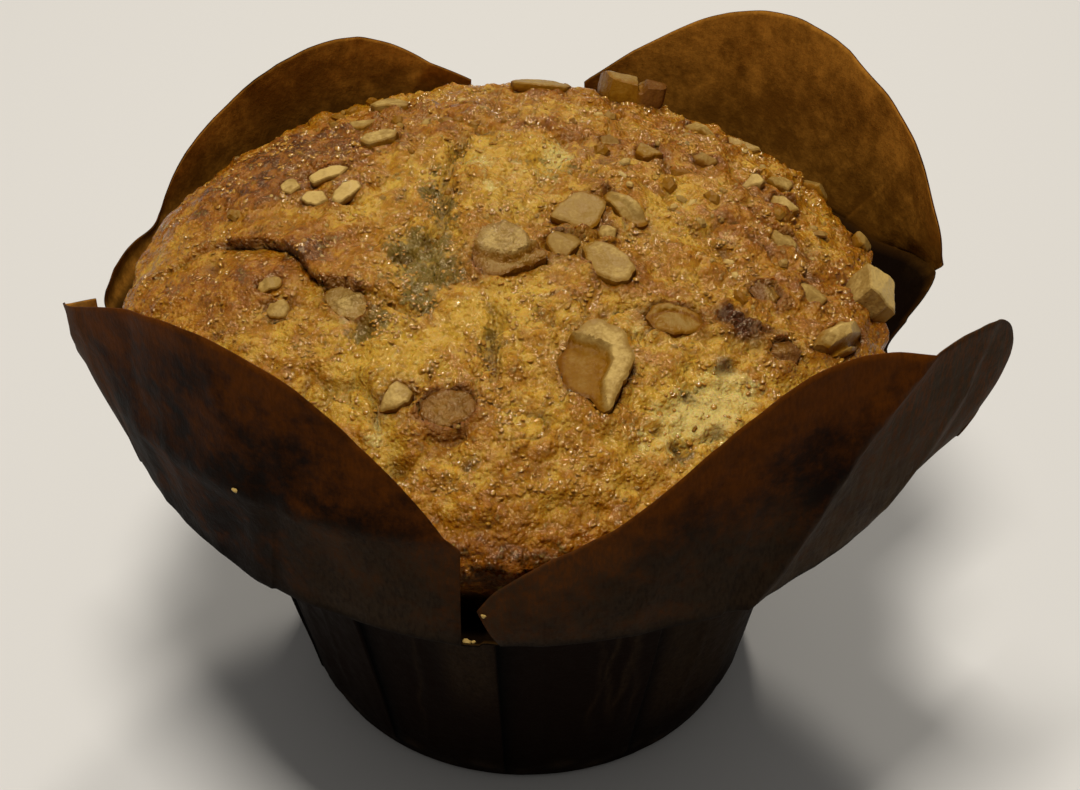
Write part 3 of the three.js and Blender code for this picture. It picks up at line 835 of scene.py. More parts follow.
# %% Outlines of the larger pieces
# Corners over the crown in mm. Only the shape counts; size and place are measured.
OUTLINES = {
    "walnut_centre": [
        (-4.5, -7.3), (-4.1, -3.8), (-2.9, -1.6), (-1, -1), (0.4, -2), (1.3, -4.3), (2.4, -5.6),
        (3.3, -6.4), (3, -7.8), (1.4, -9.2), (-0.1, -10.4), (-2.2, -11.5), (-3.7, -10.9), (-4.3, -9.5)],
    "slice_centre": [
        (3, -0.3), (3.8, 1.8), (5.5, 4.3), (6.4, 4.7), (7.7, 3.7), (8.4, 2.8), (7.9, 0.7), (7.3, -1.3),
        (6.3, -2.4), (4.8, -1.3)],
    "wedge_centre": [
        (2.8, -3.2), (3.6, -1.7), (4.8, -1.8), (5.9, -2.9), (5.4, -4.4), (4.5, -5.8), (3.6, -5.5),
        (2.9, -4.1)],
    "bit_centre": [
        (7.9, 1), (8.6, 1.5), (9.4, 0.2), (9.2, -1.4), (8, -1.6), (7.6, -0.4)],
    "sliver_centre": [
        (7.7, 5.9), (8.7, 6.6), (9.9, 4.3), (11.7, 1.7), (12.6, -0.3), (11.6, -1.5), (9.8, -0.1),
        (8.6, 2.3)],
    "lobed_half": [
        (12.5, -12.7), (13.2, -11.4), (14.8, -10.7), (16.6, -10.9), (18, -11.8), (18.3, -13),
        (17.2, -14.2), (15.2, -14.7), (13.4, -14.2)],
    "oval_slice": [
        (6.3, -4.3), (7.6, -3.2), (9.1, -4), (10.6, -5.6), (11.1, -7.8), (10.5, -9.8), (9.3, -10),
        (7.5, -8.7), (6.6, -6.5)],
    "hooked_half": [
        (5.1, -17.5), (6.2, -16.5), (7.7, -16.8), (9.4, -18.1), (10, -20.1), (10.4, -21.2),
        (9.8, -23), (8.9, -25.4), (8.2, -27.6), (7.6, -29), (7, -27.6), (6.2, -26.2), (5.2, -25.9),
        (3.8, -24.4), (3.3, -21.6), (4.1, -19.3)],
    "chunk_right": [
        (30, -12.6), (30.6, -10.4), (32, -9.2), (33.2, -7), (35.4, -7), (36.2, -8.4),
        (34.6, -11.2), (32.4, -12.9)],
    "bright_bit": [
        (23, 9.6), (24, 12.5), (25.2, 16.6), (26.2, 16.8), (26.1, 13.4), (26.6, 12.9), (25.8, 10.4)],
    "cube_chunk_right": [
        (-2.6, -2.2), (-2.3, 2.3), (2.4, 2.5), (2.7, -2.4)],
    "chunk_back": [
        (-3.8, 1.4), (-2.6, 2.6), (0.6, 2.4), (3.6, 1.6), (3.9, -1.6), (1.4, -2.5), (-2.4, -2.2)],
    "shard_long": [
        (-23.9, 7.7), (-22.9, 8.6), (-21, 9.3), (-19.8, 8.9), (-20.6, 7.7), (-22.3, 6.9), (-23.4, 6.5)],
    "shard_inner": [
        (-21.3, 1), (-21.3, 2.9), (-20.6, 5.1), (-19.3, 5.7), (-19, 4.2), (-19.7, 2.2), (-20.5, 0.6)],
    "shard_outer": [
        (-25.8, 7), (-25.1, 8.4), (-24.1, 7.5), (-23.6, 5.5), (-24.5, 4), (-25.3, 4.9)],
    "pale_wedge": [
        (-14.7, -26.3), (-14.4, -24.9), (-13.1, -23.2), (-12.3, -23.6), (-11.6, -24.5), (-12, -25.6),
        (-13, -26.5)],
    "shard_low": [
        (-23.9, 3.5), (-23.3, 4.8), (-21.5, 4.5), (-20.9, 2.8), (-22.1, 1.9), (-23.3, 2.5)],
}

# Pieces that are smaller than the place kept for them, as a part of it.
SMALLER = {"pale_wedge": 0.8, "sunken_chunk": 0.88, "shard_outer": 0.9, "shard_low": 0.9}
print(len(OUTLINES), "pieces have outlines of their own")

# %% Look of each piece
# How level its top is (1 is a flat slice), how toasted it is (0 is pale, 1 is golden
# brown), how much of it is brown skin, and how far it stands out of the crust in mm
# (None leaves it where it is).
PIECES = {
    "walnut_centre": (0.9, 0.3, 0.1, 1.7), "slice_centre": (1, 0.5, 0, 0.8),
    "wedge_centre": (0.7, 0.5, 0.1, 0.7), "bit_centre": (0.5, 0.35, 0, 0.6),
    "sliver_centre": (0.6, 0.45, 0, 0.9), "oval_slice": (0.9, 0.36, 0, 0.9),
    "lobed_half": (0.8, 0.7, 0, 0.35), "hooked_half": (0.9, 0.2, 0, 1.9),
    "cube_chunk_right": (0.9, -0.05, 0, None), "chunk_right": (0.5, 0.3, 0, 1.9),
    "chunk_back": (0.8, 0.5, 0.4, None), "slab_back": (1, 0.45, 0, 1.1),
    "sliver_back_left": (0.6, 0.3, 0, 0.9), "sliver_back_right": (0.6, 0.3, 0, 0.9),
    "bright_bit": (0.4, 0, 0, 1.4), "pale_lump": (0.5, 0.25, 0, 0.9),
    "pale_flake": (0.7, 0.35, 0, 0.8), "rim_sliver": (0.5, 0.45, 0, None),
    "rim_bit": (0.5, 0.5, 0, None), "oval_back": (0.6, 0.6, 0, 0.9),
    "shard_long": (0.9, 0.05, 0, 0.7), "shard_low": (0.9, 0.1, 0, 0.6),
    "shard_outer": (0.9, 0.2, 0, 0.5), "shard_inner": (0.9, 0.05, 0, 0.8),
    "yellow_chunk_back": (0.9, 0.25, 0, 1.2), "yellow_chunk_middle": (0.8, 0.4, 0, 0.8),
    "yellow_chunk_front": (0.9, 0.3, 0, 0.9), "pink_chunk_left": (0.5, 0.2, 0.1, 0.8),
    "pale_wedge": (0.6, 0.2, 0, 0.9), "bit_left_upper": (0.7, 0.4, 0, 0.4),
    "bit_left_lower": (0.6, 0.35, 0, 0.5), "sunken_chunk": (0.7, 0.85, 0.3, 0.15),
    "bit_right_upper": (0.6, 0.4, 0, 0.5), "brown_bit_right": (0.7, 0.7, 0.7, 0.5),
    "pale_bit_right": (0.6, 0.4, 0, 0.6), "dark_chunk_right": (0.7, 0.8, 0.8, 0.5),
    "bit_back_middle": (0.5, 0.5, 0.4, 0.7), "bit_back_right": (0.5, 0.55, 0.3, 0.8),
}
print(sum(1 for piece in PIECES.values() if piece[2] > 0), "of", len(PIECES), "pieces keep some skin")

# %% Plane of a piece
SLOPE_STEP = 0.5           # mm either side over which the crust's slope is measured


def nut_plane(node):
    """Middle of a plain piece, and the directions right, back and out of the crust."""
    low, high = (np.array(corner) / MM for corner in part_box(node))
    middle = (low + high) / 2
    x, y = middle[0], middle[1]
    step = SLOPE_STEP
    slope_x = float(dome_height(x + step, y) - dome_height(x - step, y)) / (2 * step)
    slope_y = float(dome_height(x, y + step) - dome_height(x, y - step)) / (2 * step)
    out = np.array([-slope_x, -slope_y, 1.0])
    out /= np.linalg.norm(out)
    right = np.array([1.0, 0, 0]) - out * out[0]
    right /= np.linalg.norm(right)
    return middle, np.stack([right, np.cross(out, right), out])


nut_names = [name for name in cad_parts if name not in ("muffin", "paper_cup")]
print(len(nut_names), "pieces of nut in the plain model")

# %% Reach of an outline
TURNS = 64                 # directions in which an outline is measured
ANGLES = np.linspace(0, 2 * math.pi, TURNS, endpoint=False)


def reach_of(corners):
    """How far an outline reaches in each direction from its middle."""
    reach = np.zeros(TURNS)
    for i, angle in enumerate(ANGLES):
        ray = np.array([math.cos(angle), math.sin(angle)])
        for start, end in zip(corners, np.roll(corners, -1, axis=0)):
            run = end - start
            below = ray[0] * run[1] - ray[1] * run[0]
            if abs(below) < 1e-9:
                continue
            along = (start[0] * run[1] - start[1] * run[0]) / below
            part = (start[0] * ray[1] - start[1] * ray[0]) / below
            if along > 0 and -1e-6 <= part <= 1 + 1e-6:
                reach[i] = max(reach[i], along)
    return (np.roll(reach, 1) + 6 * reach + np.roll(reach, -1)) / 8


cube_reach = reach_of(np.array(OUTLINES["cube_chunk_right"]))
print("the cube reaches", round(cube_reach.min(), 1), "to", round(cube_reach.max(), 1), "mm")

# %% Measure the nuts
class Nut:
    """A piece of nut as measured: its plane, its outline, its thickness and its look."""

    def __init__(self, name):
        self.name = name
        self.middle, self.axes = nut_plane(name)
        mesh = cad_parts[name].data
        points = np.empty(len(mesh.vertices) * 3)
        mesh.vertices.foreach_get("co", points)
        local = (points.reshape(-1, 3) / MM - self.middle) @ self.axes.T
        self.low, self.high = local.min(axis=0), local.max(axis=0)
        self.center = (self.low + self.high)[:2] / 2
        flat = local[:, :2] - self.center
        if name in OUTLINES:
            drawn = np.array(OUTLINES[name], float)
            self.drawn_middle = (drawn.max(axis=0) + drawn.min(axis=0)) / 2
            self.fit = (self.high - self.low)[:2] / np.ptp(drawn, axis=0)
            corners = (drawn - self.drawn_middle) * self.fit
        else:
            corners = flat[geometry.convex_hull_2d([Vector(p) for p in flat])]
        self.reach = reach_of(corners) * SMALLER.get(name, 1)
        self.level, self.toasted, self.skin, self.stand = PIECES[name]

    def flat(self, points):
        """Where points lie in the nut's plane: right, back and out, in mm."""
        local = (points - self.middle) @ self.axes.T
        local[:, :2] -= self.center
        return local

    def part_out(self, local):
        """How far out points lie, as a part of the outline's reach: 1 is the outline."""
        angle = np.arctan2(local[:, 1], local[:, 0]) % (2 * math.pi)
        reach = np.append(self.reach, self.reach[0])
        return np.hypot(local[:, 0], local[:, 1]) / np.interp(angle, [*ANGLES, 2 * math.pi], reach)


nuts = {name: Nut(name) for name in nut_names}
print("the widest piece is", round(max(n.reach.max() for n in nuts.values()) * 2, 1), "mm")

# %% [markdown]
# ## Muffin: cracks, soft patches and crumb
#
# A crown isn't an even dome. Here one lobe rose late and slid over its neighbour on the
# left, which leaves a deep fold. Batter tore along short fissures, and soft fruit came
# to the surface as sunken greenish patches, one dark berry among them. All of these are
# given as courses and spots in millimetres, and they are bent by noise so that none
# keeps a drawn edge.

# %% Fold, fissures and pits
# Course of the fold over the crown.
FOLD_COURSE = [
    (-41, 1.2), (-36, 1.6), (-31, 2.2), (-27.6, 0.9), (-24, -2.8), (-21, -6.2), (-18.6, -8.4),
    (-15.5, -9.8),
]

# Each fissure: depth and half width in mm, then its course over the crown.
FISSURES = [
    (0.8, 0.6, [(-3, -12.8), (-2.6, -14.4), (-3.6, -16.5), (-3.2, -18.6), (-3.6, -21.2)]),
    (0.9, 0.5, [(-7.4, 16.8), (-8.6, 12.8), (-8, 9.6), (-9.6, 6), (-8.8, 1), (-10.2, -2.4)]),
    (1, 0.45, [(-6.2, 18), (-4.4, 18.9), (-2.2, 18), (-0.8, 19.2)]),
    (0.9, 0.4, [(1.6, 20.6), (2.6, 18.6), (4.6, 17.2), (6.4, 17.4)]),
    (0.6, 0.35, [(1.2, -12.8), (2.2, -14.2), (4.2, -15.2), (5, -14.6)]),
    (0.7, 0.4, [(-9.8, -28.6), (-8.2, -29), (-6.4, -28.2)]),
    (0.8, 0.4, [(-15.2, -10.6), (-13.4, -11.8), (-11.6, -13.2), (-10.2, -12.6)]),
    (0.7, 0.4, [(-19.8, -20.6), (-17, -21.4), (-15.4, -24), (-14.6, -27.6)]),
    (0.7, 0.35, [(-10.5, 20.5), (-8.8, 22.4), (-9.6, 24.6)]),
    (0.6, 0.4, [(-4.2, 25), (-4.6, 28), (-3.8, 31.5)]),
    (0.5, 0.35, [(20, -0.2), (21.2, -1.2), (21.6, -2.4)]),
    (0.5, 0.35, [(13, 9), (15.4, 8), (16, 5.4)]),
    (0.5, 0.3, [(24, 8.4), (27, 7.4), (29.4, 8.8)]),
]

# Each pit: x, y, radius and depth in mm.
PITS = [
    (-7.8, 6.6, 0.7, 1.3), (-13.4, -3.9, 0.8, 1), (-12.4, -3.4, 0.5, 1.2), (-33.6, -1.3, 1, 0.5),
    (-31.9, -12, 0.9, 0.7), (-13.2, 5.2, 0.7, 0.5), (21, -1, 0.8, 0.6), (-21.4, 18.4, 0.6, 0.5),
    (-12.6, -31.2, 1.2, 0.9), (20.2, -17.6, 0.9, 0.7), (16.6, -22, 0.7, 0.5), (15.8, -28.2, 0.9, 0.6),
    (18.8, -26, 0.6, 0.5), (13.6, -26.4, 0.6, 0.4), (-5.2, -31.8, 0.8, 0.4), (8.6, 12.6, 0.8, 0.5),
    (-28, 2.6, 0.8, 0.8), (30.5, -1.2, 0.7, 0.5), (-1.6, 24.2, 0.8, 0.5), (-15.2, 20.2, 0.9, 0.6),
]

print(len(FISSURES), "fissures and", len(PITS), "pits")

# %% Soft fruit and torn crust
# Each spot: x, y, radius along x and y in mm, and how strongly it shows.
SOFT_SPOTS = [
    (-10.4, -6.2, 4.4, 4.2, 1), (-12.6, -2.2, 3.6, 2.2, 0.7), (-15.7, -14.4, 2.2, 2, 1),
    (-9.6, 7, 1.8, 4.6, 0.8), (-8.6, 1.5, 1.8, 3.6, 0.65), (-7.4, 14.6, 1.6, 3.2, 0.55),
    (-3.4, -17, 1.4, 3.6, 0.7), (-10.8, -11.6, 1.6, 1.8, 0.9), (-4.4, 18.2, 2.4, 1.2, 0.6),
    (2.8, 11, 2.8, 2, 0.35), (7, 1.5, 5, 4, 0.25), (16.4, -27.6, 1.5, 1.2, 0.5),
    (17, -21.8, 1.6, 1.2, 0.4), (-6, -33, 2, 1.4, 0.3),
]
DARK_BERRIES = [
    (22.4, -13, 2.2, 1.9, 1), (20.6, -11.6, 1.4, 1.3, 0.9), (20.3, -17.4, 0.9, 0.8, 0.7),
    (25.4, -12.2, 1.6, 1, 0.6),
]
# Where torn crust shows pale crumb, and where the crust is rosy.
PALE_SPOTS = [
    (17.4, -24, 4.2, 3.2, 1), (20.6, -19.8, 2.6, 3, 0.8), (13.2, -28.4, 2.6, 2.2, 0.6),
    (3.4, 13.4, 2, 3, 0.8), (-5.5, 11.5, 3, 2.6, 0.5), (0.5, 8.5, 3, 2.4, 0.4),
    (-3.8, 6.6, 1, 1.6, 0.7), (-14.4, -26.6, 1.8, 3.4, 0.6), (-18.2, -12.4, 1.8, 1.4, 0.5),
    (12.2, -14.5, 2, 1.2, 0.4), (10.5, -12, 1.4, 1.2, 0.4),
]
ROSY_SPOTS = [
    (-24, 15, 7, 6, 0.4), (-8, -26, 3.6, 3, 1), (7, 15, 4.5, 3.5, 0.7), (-14, 24, 5, 4, 0.6),
    (26.5, -7, 2.2, 1.8, 0.8),
]
# The left flank rose slowly, so it stayed smooth.
SMOOTH_SPOTS = [(-32, -4, 12, 10, 0.8), (-36, 12, 10, 12, 0.7)]


def spots(x, y, table):
    """Sum of soft round spots; each is 1 at its middle times its strength."""
    total = np.zeros(x.shape)
    for cx, cy, radius_x, radius_y, strength in table:
        total += strength * np.exp(-(((x - cx) / radius_x) ** 2 + ((y - cy) / radius_y) ** 2) ** 1.5)
    return total


print(len(SOFT_SPOTS), "soft spots and", len(PALE_SPOTS), "torn places")

# %% [markdown]
# ## Muffin: moving the surface
#
# The relief is added up at each point, and the point is then moved out of the dome by
# that much. Bubbles burst and crumb set at several sizes, so there are mounds of about
# a centimetre, lumps of a few millimetres, and a fine pebbling that the grid can only
# just hold. Anything finer is left to the material.

# %% Where the soft and torn places are
crown = crust_points[:crown_count]
bend_x = 0.9 * noise_at(crown, 4.5, 11) + 0.35 * noise_at(crown, 1.5, 12)
bend_y = 0.9 * noise_at(crown, 4.5, 13) + 0.35 * noise_at(crown, 1.5, 14)
bent_x, bent_y = crown[:, 0] + bend_x, crown[:, 1] + bend_y
soft, berry, pale, rosy, smooth_left = (
    np.clip(spots(bent_x, bent_y, table), 0, 1)
    for table in (SOFT_SPOTS, DARK_BERRIES, PALE_SPOTS, ROSY_SPOTS, SMOOTH_SPOTS))
print("soft over", round(100 * float((soft > 0.5).mean()), 1), "% of the crown")

# %% Mounds, bubbles and seams
def cells_at(points, size, seed):
    """Distance to the nearest cell centre, from 0 to about 1, with cells about size mm."""
    shift = Vector((3.1, 11.7, -6.3)) * seed
    scale = 1 / size
    return np.array([noise.voronoi(Vector(p) * scale + shift)[0][0] for p in points])


lumps = noise_at(crown, 8, 21)
mounds = noise_at(crown, 3.6, 22)
pebbles = noise_at(crown, 1.5, 23)
grain = noise_at(crown, 0.8, 24)
bubbles = 0.45 - cells_at(crown, 2.6, 25)
small_bubbles = 0.45 - cells_at(crown, 1.25, 26)
lively = 1 - 0.75 * smooth_left
seams = np.exp(-(noise_at(crown, 5.5, 27) / 0.045) ** 2)
seams *= ease(0.4 + 2.2 * noise_at(crown, 9, 28)) * lively
relief = (0.6 * lumps + (0.22 + 0.42 * lively) * mounds + (0.08 + 0.32 * lively) * pebbles
          + (0.04 + 0.08 * lively) * grain + (0.05 + 0.85 * lively) * bubbles
          + (0.06 + 0.34 * lively) * small_bubbles - 0.75 * seams)
# Seams, and further down the fissures, pits, the fold line and the gap round each nut, are marked here to
# be painted dark: painted shade in those recesses.
crack_shade = 0.55 * seams
print("mounds and bubbles move the crust by up to", round(float(np.abs(relief).max()), 1), "mm")

# %% Cut the fissures and pits
torn = 0.55 + 0.6 * noise_at(crown, 1.1, 31)
for depth, half_width, course in FISSURES:
    away, _ = distance_to_path(bent_x, bent_y, course)
    cut = np.exp(-(away / (1.35 * half_width)) ** 2)
    relief += -1.3 * depth * cut + 0.25 * depth * np.exp(-((away - 1.6 * half_width) / half_width) ** 2)
    crack_shade = np.maximum(crack_shade, cut * min(1, depth) * torn)
for x, y, radius, depth in PITS:
    cut = np.exp(-((bent_x - x) ** 2 + (bent_y - y) ** 2) / radius ** 2)
    relief -= depth * cut
    crack_shade = np.maximum(crack_shade, 0.8 * cut)
relief += -0.7 * soft + 0.5 * soft * np.abs(pebbles) - 0.4 * berry + 1.3 * berry * np.abs(grain + pebbles)
relief += -0.35 * pale + 0.3 * pale * pebbles
print("cracked over", round(100 * float((crack_shade > 0.5).mean()), 1), "% of the crown")

# %% Slide one lobe over the other
fold_away, fold_side = distance_to_path(bent_x, bent_y, FOLD_COURSE)
fold_fade = (0.25 + 0.75 * ease((bent_x + 34) / 5)) * ease((bent_x + 42) / 4) * ease((-14 - bent_x) / 5)
above = fold_side > 0
relief += np.where(above, 1.15 * np.exp(-fold_away / 4.5), -0.9 * np.exp(-fold_away / 2.4)) * fold_fade
# The fold line itself is painted dark, as painted shade under the overhanging lobe.
fold_line = np.exp(-(fold_away / np.where(above, 0.3, 0.5)) ** 2) * fold_fade
relief -= 0.9 * fold_line
crack_shade = np.maximum(crack_shade, fold_line)
fold_shade = np.where(above, np.exp(-fold_away / 2.6), 0) * fold_fade
lean = np.where(above, np.exp(-(fold_away / 2.0) ** 2), 0) * fold_fade

moved = crown + crust_out[:crown_count] * relief[:, None]
moved += lean[:, None] * np.array([-0.55, -0.9, 0])
print("crust stands from", round(float(relief.min()), 1), "to", round(float(relief.max()), 1),
      "mm about the dome")

# %% [markdown]
# ## Muffin: a dent round each nut
#
# A nut that is pressed into batter isn't laid on it. The batter creeps up round the
# piece while it bakes, so each one sits in a dent with a raised, glazed rim. Here every
# piece is first set to its height over the crust round it, then the crust close to it
# is lifted, and what lies under the piece is pushed down to just below it.

# %% Dents round the nuts
SEAT_GAP = 0.12            # mm between a nut's underside and its dent
TOP_SHARE = 0.86           # part of its measured height that a nut's top reaches
NEAR_NUT = 2.5             # mm round a nut within which the crust is moved
CREEP_WIDTH = 1.0          # mm over which the lifted rim falls away
# The darker rim round a nut is partly glaze and partly painted shade where the crust meets the nut.
HALO_WIDTH = 0.8           # mm of darker glaze round a nut
SHADOW_WIDTH = 0.2         # mm of dark gap round a nut

halo_glaze_and_shade = np.zeros(crown_count)
creep = 0.25 + 0.7 * noise_at(crown, 1.6, 33)
for nut in nuts.values():
    local = nut.flat(moved)
    part = nut.part_out(local)
    beyond = (part - 1) * nut.reach.mean()
    close = (beyond < NEAR_NUT) & (np.abs(local[:, 2]) < 6)
    if nut.stand is not None:
        around = close & (beyond > 0.2) & (beyond < 1.4)
        rise = np.median(local[around, 2]) + nut.stand - TOP_SHARE * nut.high[2]
        nut.middle = nut.middle + nut.axes[2] * rise
    rim = np.exp(-(np.maximum(beyond - 0.3, 0) / CREEP_WIDTH) ** 2) * close
    moved += (creep * rim)[:, None] * nut.axes[2]
    halo_glaze_and_shade = np.maximum(halo_glaze_and_shade, np.exp(-np.maximum(beyond, 0) / HALO_WIDTH) * close)
    local = nut.flat(moved)
    seat = nut.low[2] * np.sqrt(np.clip(1 - (part / 0.98) ** 2, 0, 1)) - SEAT_GAP
    drop = np.where(close & (part < 0.98), np.minimum(seat - local[:, 2], 0), 0)
    moved += drop[:, None] * nut.axes[2]
    # A thin ring round each piece is painted dark, as painted shadow in the gap between crust and nut.
    crack_shade = np.maximum(crack_shade, 0.8 * np.exp(-np.maximum(beyond, 0) / SHADOW_WIDTH) * close)
print("dents round", len(nuts), "nuts")

# %% Glaze and browning
# Browner and paler regions, as gains and losses of browning. The spot on the front rim is partly painted
# shade, where the rim turns down and away from the lamps.
BROWNING_AND_SHADE = [
    (-30, -5, 11, 9, 0.34), (-21, -2.6, 5.5, 4.5, 0.25), (-27, 17, 11, 10, 0.85), (26, 4, 10, 10, 0.26),
    (-1, -39, 16, 5, 0.35), (0, 24, 14, 8, 0.38), (29, -5, 6, 6, 0.22), (-1, -31, 2.6, 1.6, 0.4),
    (4, -31, 12, 6, -0.1), (-8, -26, 4, 3.4, 0.35), (-14, 28, 9, 6, 0.3), (14, 28, 7, 6, 0.24),
    (-33, 8, 6, 6, 0.2), (17, 17, 7, 5, 0.15), (13, -8, 5, 3, 0.12), (-5, 13, 7, 5, -0.34),
    (-1, -12.5, 7, 4, -0.4), (-14, -22.5, 6, 5, -0.42), (3, 13, 4, 4, -0.3), (-2, 4, 5, 4, -0.22),
    (4, 25, 8, 4, -0.3), (14, 1, 5, 5, -0.2), (15, -22, 6, 6, -0.35), (3, -19, 4, 4, -0.2),
    (-14, 6, 4, 4, -0.14), (-12, -17, 5, 3, -0.2), (16, 7, 3, 4, -0.15), (-17, -16, 8, 6, -0.3),
]

glaze = np.clip(0.9 - 0.7 * pale - 0.9 * rosy - 0.6 * crack_shade - 0.35 * smooth_left, 0, 1)
across_x = (crown[:, 0] - CROWN_X) / CROWN_RADIUS_X
edge_part = np.clip(1 - across_x ** 2 - (crown[:, 1] / CROWN_RADIUS_Y) ** 2, 0, 1)
browning_and_shade = 0.42 + spots(bent_x, bent_y, BROWNING_AND_SHADE) + 0.3 * (1 - ease(edge_part / 0.25))
browning_and_shade += 0.12 * lumps + 0.1 * mounds + 0.3 * fold_shade
print("browning from", round(float(browning_and_shade.min()), 1), "to", round(float(browning_and_shade.max()), 1))

# %% Body below the crown
body = crust_points[crown_count:]
under = noise_at(body, 3.6, 22) * 0.3 + noise_at(body, 1.5, 23) * 0.15 + noise_at(body, 8, 21) * 0.5
under *= ease((body[:, 2] - 40) / 5)
moved_body = body + crust_out[crown_count:] * under[:, None]
muffin_points = np.concatenate([moved, moved_body])
print(len(moved_body), "points below the crown")

# %% [markdown]
# ## Crust: what it looks like
#
# A baked crust has no single brown. Thin high places brown most, places that tore late
# stay yellow, melted sugar makes it shine in grains, and crumb inside a crack is matt.
# The painted attributes say where each of these belongs, and noise from a centimetre down to a fifth of a
# millimetre breaks every one of them up. Cracks, pits, the fold and the gaps round the nuts are painted
# dark as painted shade, and the pale peaks of the grain are partly a painted highlight.

# %% Crust material
GOLDEN_YELLOW = (0.54, 0.305, 0.028)
HONEY = (0.39, 0.160, 0.006)
ORANGE_BROWN = (0.27, 0.085, 0.003)
DARK_BROWN = (0.075, 0.021, 0.0014)
PALE_CRUMB = (0.62, 0.46, 0.13)
GREY_GREEN = (0.17, 0.108, 0.014)
GLAZE_AND_SHADE_RIM = (0.20, 0.060, 0.003)
ROSY_BROWN = (0.29, 0.115, 0.016)
BERRY_DARK = (0.075, 0.022, 0.006)
GLINT_TINT = (1.0, 0.82, 0.52, 1)


def crust_material():
    crust = Recipe("baked_crust")
    broad = crust.noise(6, detail=3, rough=0.5)
    patches = crust.noise(2.0, detail=4, rough=0.6)
    grains = crust.noise(0.75, detail=3, rough=0.6)
    fine = crust.noise(0.28, detail=2, rough=0.6)
    beads = crust.cells(0.6)
    brown = crust.uneven(crust.painted("browning_and_shade"), (broad, 0.3, 0.7, 0.2),
                         (patches, 0.28, 0.72, 0.34), (grains, 0.3, 0.7, 0.2))
    color = crust.mix(crust.spread(brown, -0.1, 0.6), GOLDEN_YELLOW, HONEY)
    color = crust.mix(crust.spread(brown, 0.45, 1.15), color, ORANGE_BROWN)
    color = crust.mix(crust.spread(brown, 1.0, 1.6), color, DARK_BROWN)
    # Pale crumb on the peaks of the grain, which is also where the bump is highest: partly a painted
    # highlight.
    tips = crust.math("MULTIPLY", crust.spread(grains, 0.54, 0.72), crust.spread(brown, 0.8, 0.3))
    color = crust.mix(crust.math("MULTIPLY", tips, 0.6), color, PALE_CRUMB)
    places = (("rosy", 0.85, ROSY_BROWN), ("pale", 0.95, PALE_CRUMB), ("soft", 0.95, GREY_GREEN))
    for name, amount, shade in places:
        ragged = crust.uneven(crust.painted(name), (patches, 0.3, 0.7, 0.3), (grains, 0.3, 0.7, 0.22))
        color = crust.mix(crust.spread(ragged, 0.25, 0.8, 0.0, amount), color, shade)
    color = crust.mix(crust.painted("berry"), color, BERRY_DARK)
    # Partly glaze, partly painted shade round each nut.
    color = crust.mix(crust.math("MULTIPLY", crust.painted("halo_glaze_and_shade"), 0.75), color, GLAZE_AND_SHADE_RIM)
    # Painted shade: cracks, seams, pits, the fold and the gaps round the nuts are mixed towards dark
    # brown.
    color = crust.mix(crust.math("MULTIPLY", crust.painted("crack_shade"), 0.85), color, DARK_BROWN)
    glaze = crust.math("MULTIPLY", crust.spread(patches, 0.36, 0.56), crust.painted("glaze"))
    roughness = crust.spread(glaze, 0.0, 0.7, 0.6, 0.1)
    domes = crust.spread(beads, 0.6, 0.0)
    normal = crust.bump((patches, 0.45), (grains, 0.42), (domes, 0.18), (fine, 0.07))
    return crust.finish(color, roughness, normal, Specular_IOR_Level=0.6, Specular_Tint=GLINT_TINT,
                        Subsurface_Weight=0.6, Subsurface_Radius=(1.0, 0.45, 0.12),
                        Subsurface_Scale=0.9 * MM)


baked_crust = crust_material()
print("crust in", len(baked_crust.node_tree.nodes), "nodes")

# %% Muffin
muffin = add_object("baked_muffin", muffin_points, crust_faces, [baked_crust])
nothing = np.zeros(len(moved_body))
painted = {"soft": soft, "berry": berry, "pale": pale, "rosy": rosy, "crack_shade": crack_shade, "halo_glaze_and_shade": halo_glaze_and_shade,
           "glaze": glaze}
for name, shown in painted.items():
    add_attribute(muffin, name, np.concatenate([shown, nothing]))
# The body below the crown is painted dark brown, as painted shade: it shows only through the slits
# between the petals, where it lies in shade.
add_attribute(muffin, "browning_and_shade", np.concatenate([browning_and_shade, nothing + 1.3]))
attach(muffin, "root")
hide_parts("muffin")
print("muffin made with", len(muffin.data.polygons), "faces")

# %% [markdown]
# ## Pieces of nut: their shape
#
# Chopped nuts break along flat faces. Each piece here is its outline with a top cut by
# a few tilted planes: one nearly level, and several steeper ones towards the sides. A
# few pieces keep some of their natural form as well, so they also get steps, ridges
# and grooves: the hollow half with its hooked rim, the walnut with its wrinkled lump,
# the half with a curved groove. Fine noise takes the machined look off.

# %% Ridges, steps and leans
# Ridges over the same plan as the outlines: height (below 0 for a groove) and half
# width in mm, how much is left of it at the far end, and its course.
WALNUT_GROOVE = [
    (-4.9, -6.7), (-3.1, -7.5), (-1.6, -8.3), (-0.2, -8.4), (1, -7), (2.4, -5.3),
]
RIDGES = {
    "walnut_centre": [(-0.35, 0.3, 1, WALNUT_GROOVE)],
    "lobed_half": [(-0.3, 0.22, 1, [(13, -12.9), (14.2, -12), (15.6, -11.7), (17, -12), (17.8, -12.6)])],
    "sliver_centre": [(0.6, 0.8, 0.8, [(8.4, 7.4), (9.6, 4.8), (11.6, 1.4)])],
    "chunk_right": [(0.8, 0.9, 0.9, [(31, -12), (33.2, -9.6), (35, -7.6)]),
                    (-0.5, 0.4, 1, [(32, -12.6), (34.4, -10), (35.8, -8.4)])],
    "chunk_back": [(-0.9, 0.4, 1, [(0.2, 2.8), (0.9, 0.2), (1.2, -2.8)])],
}

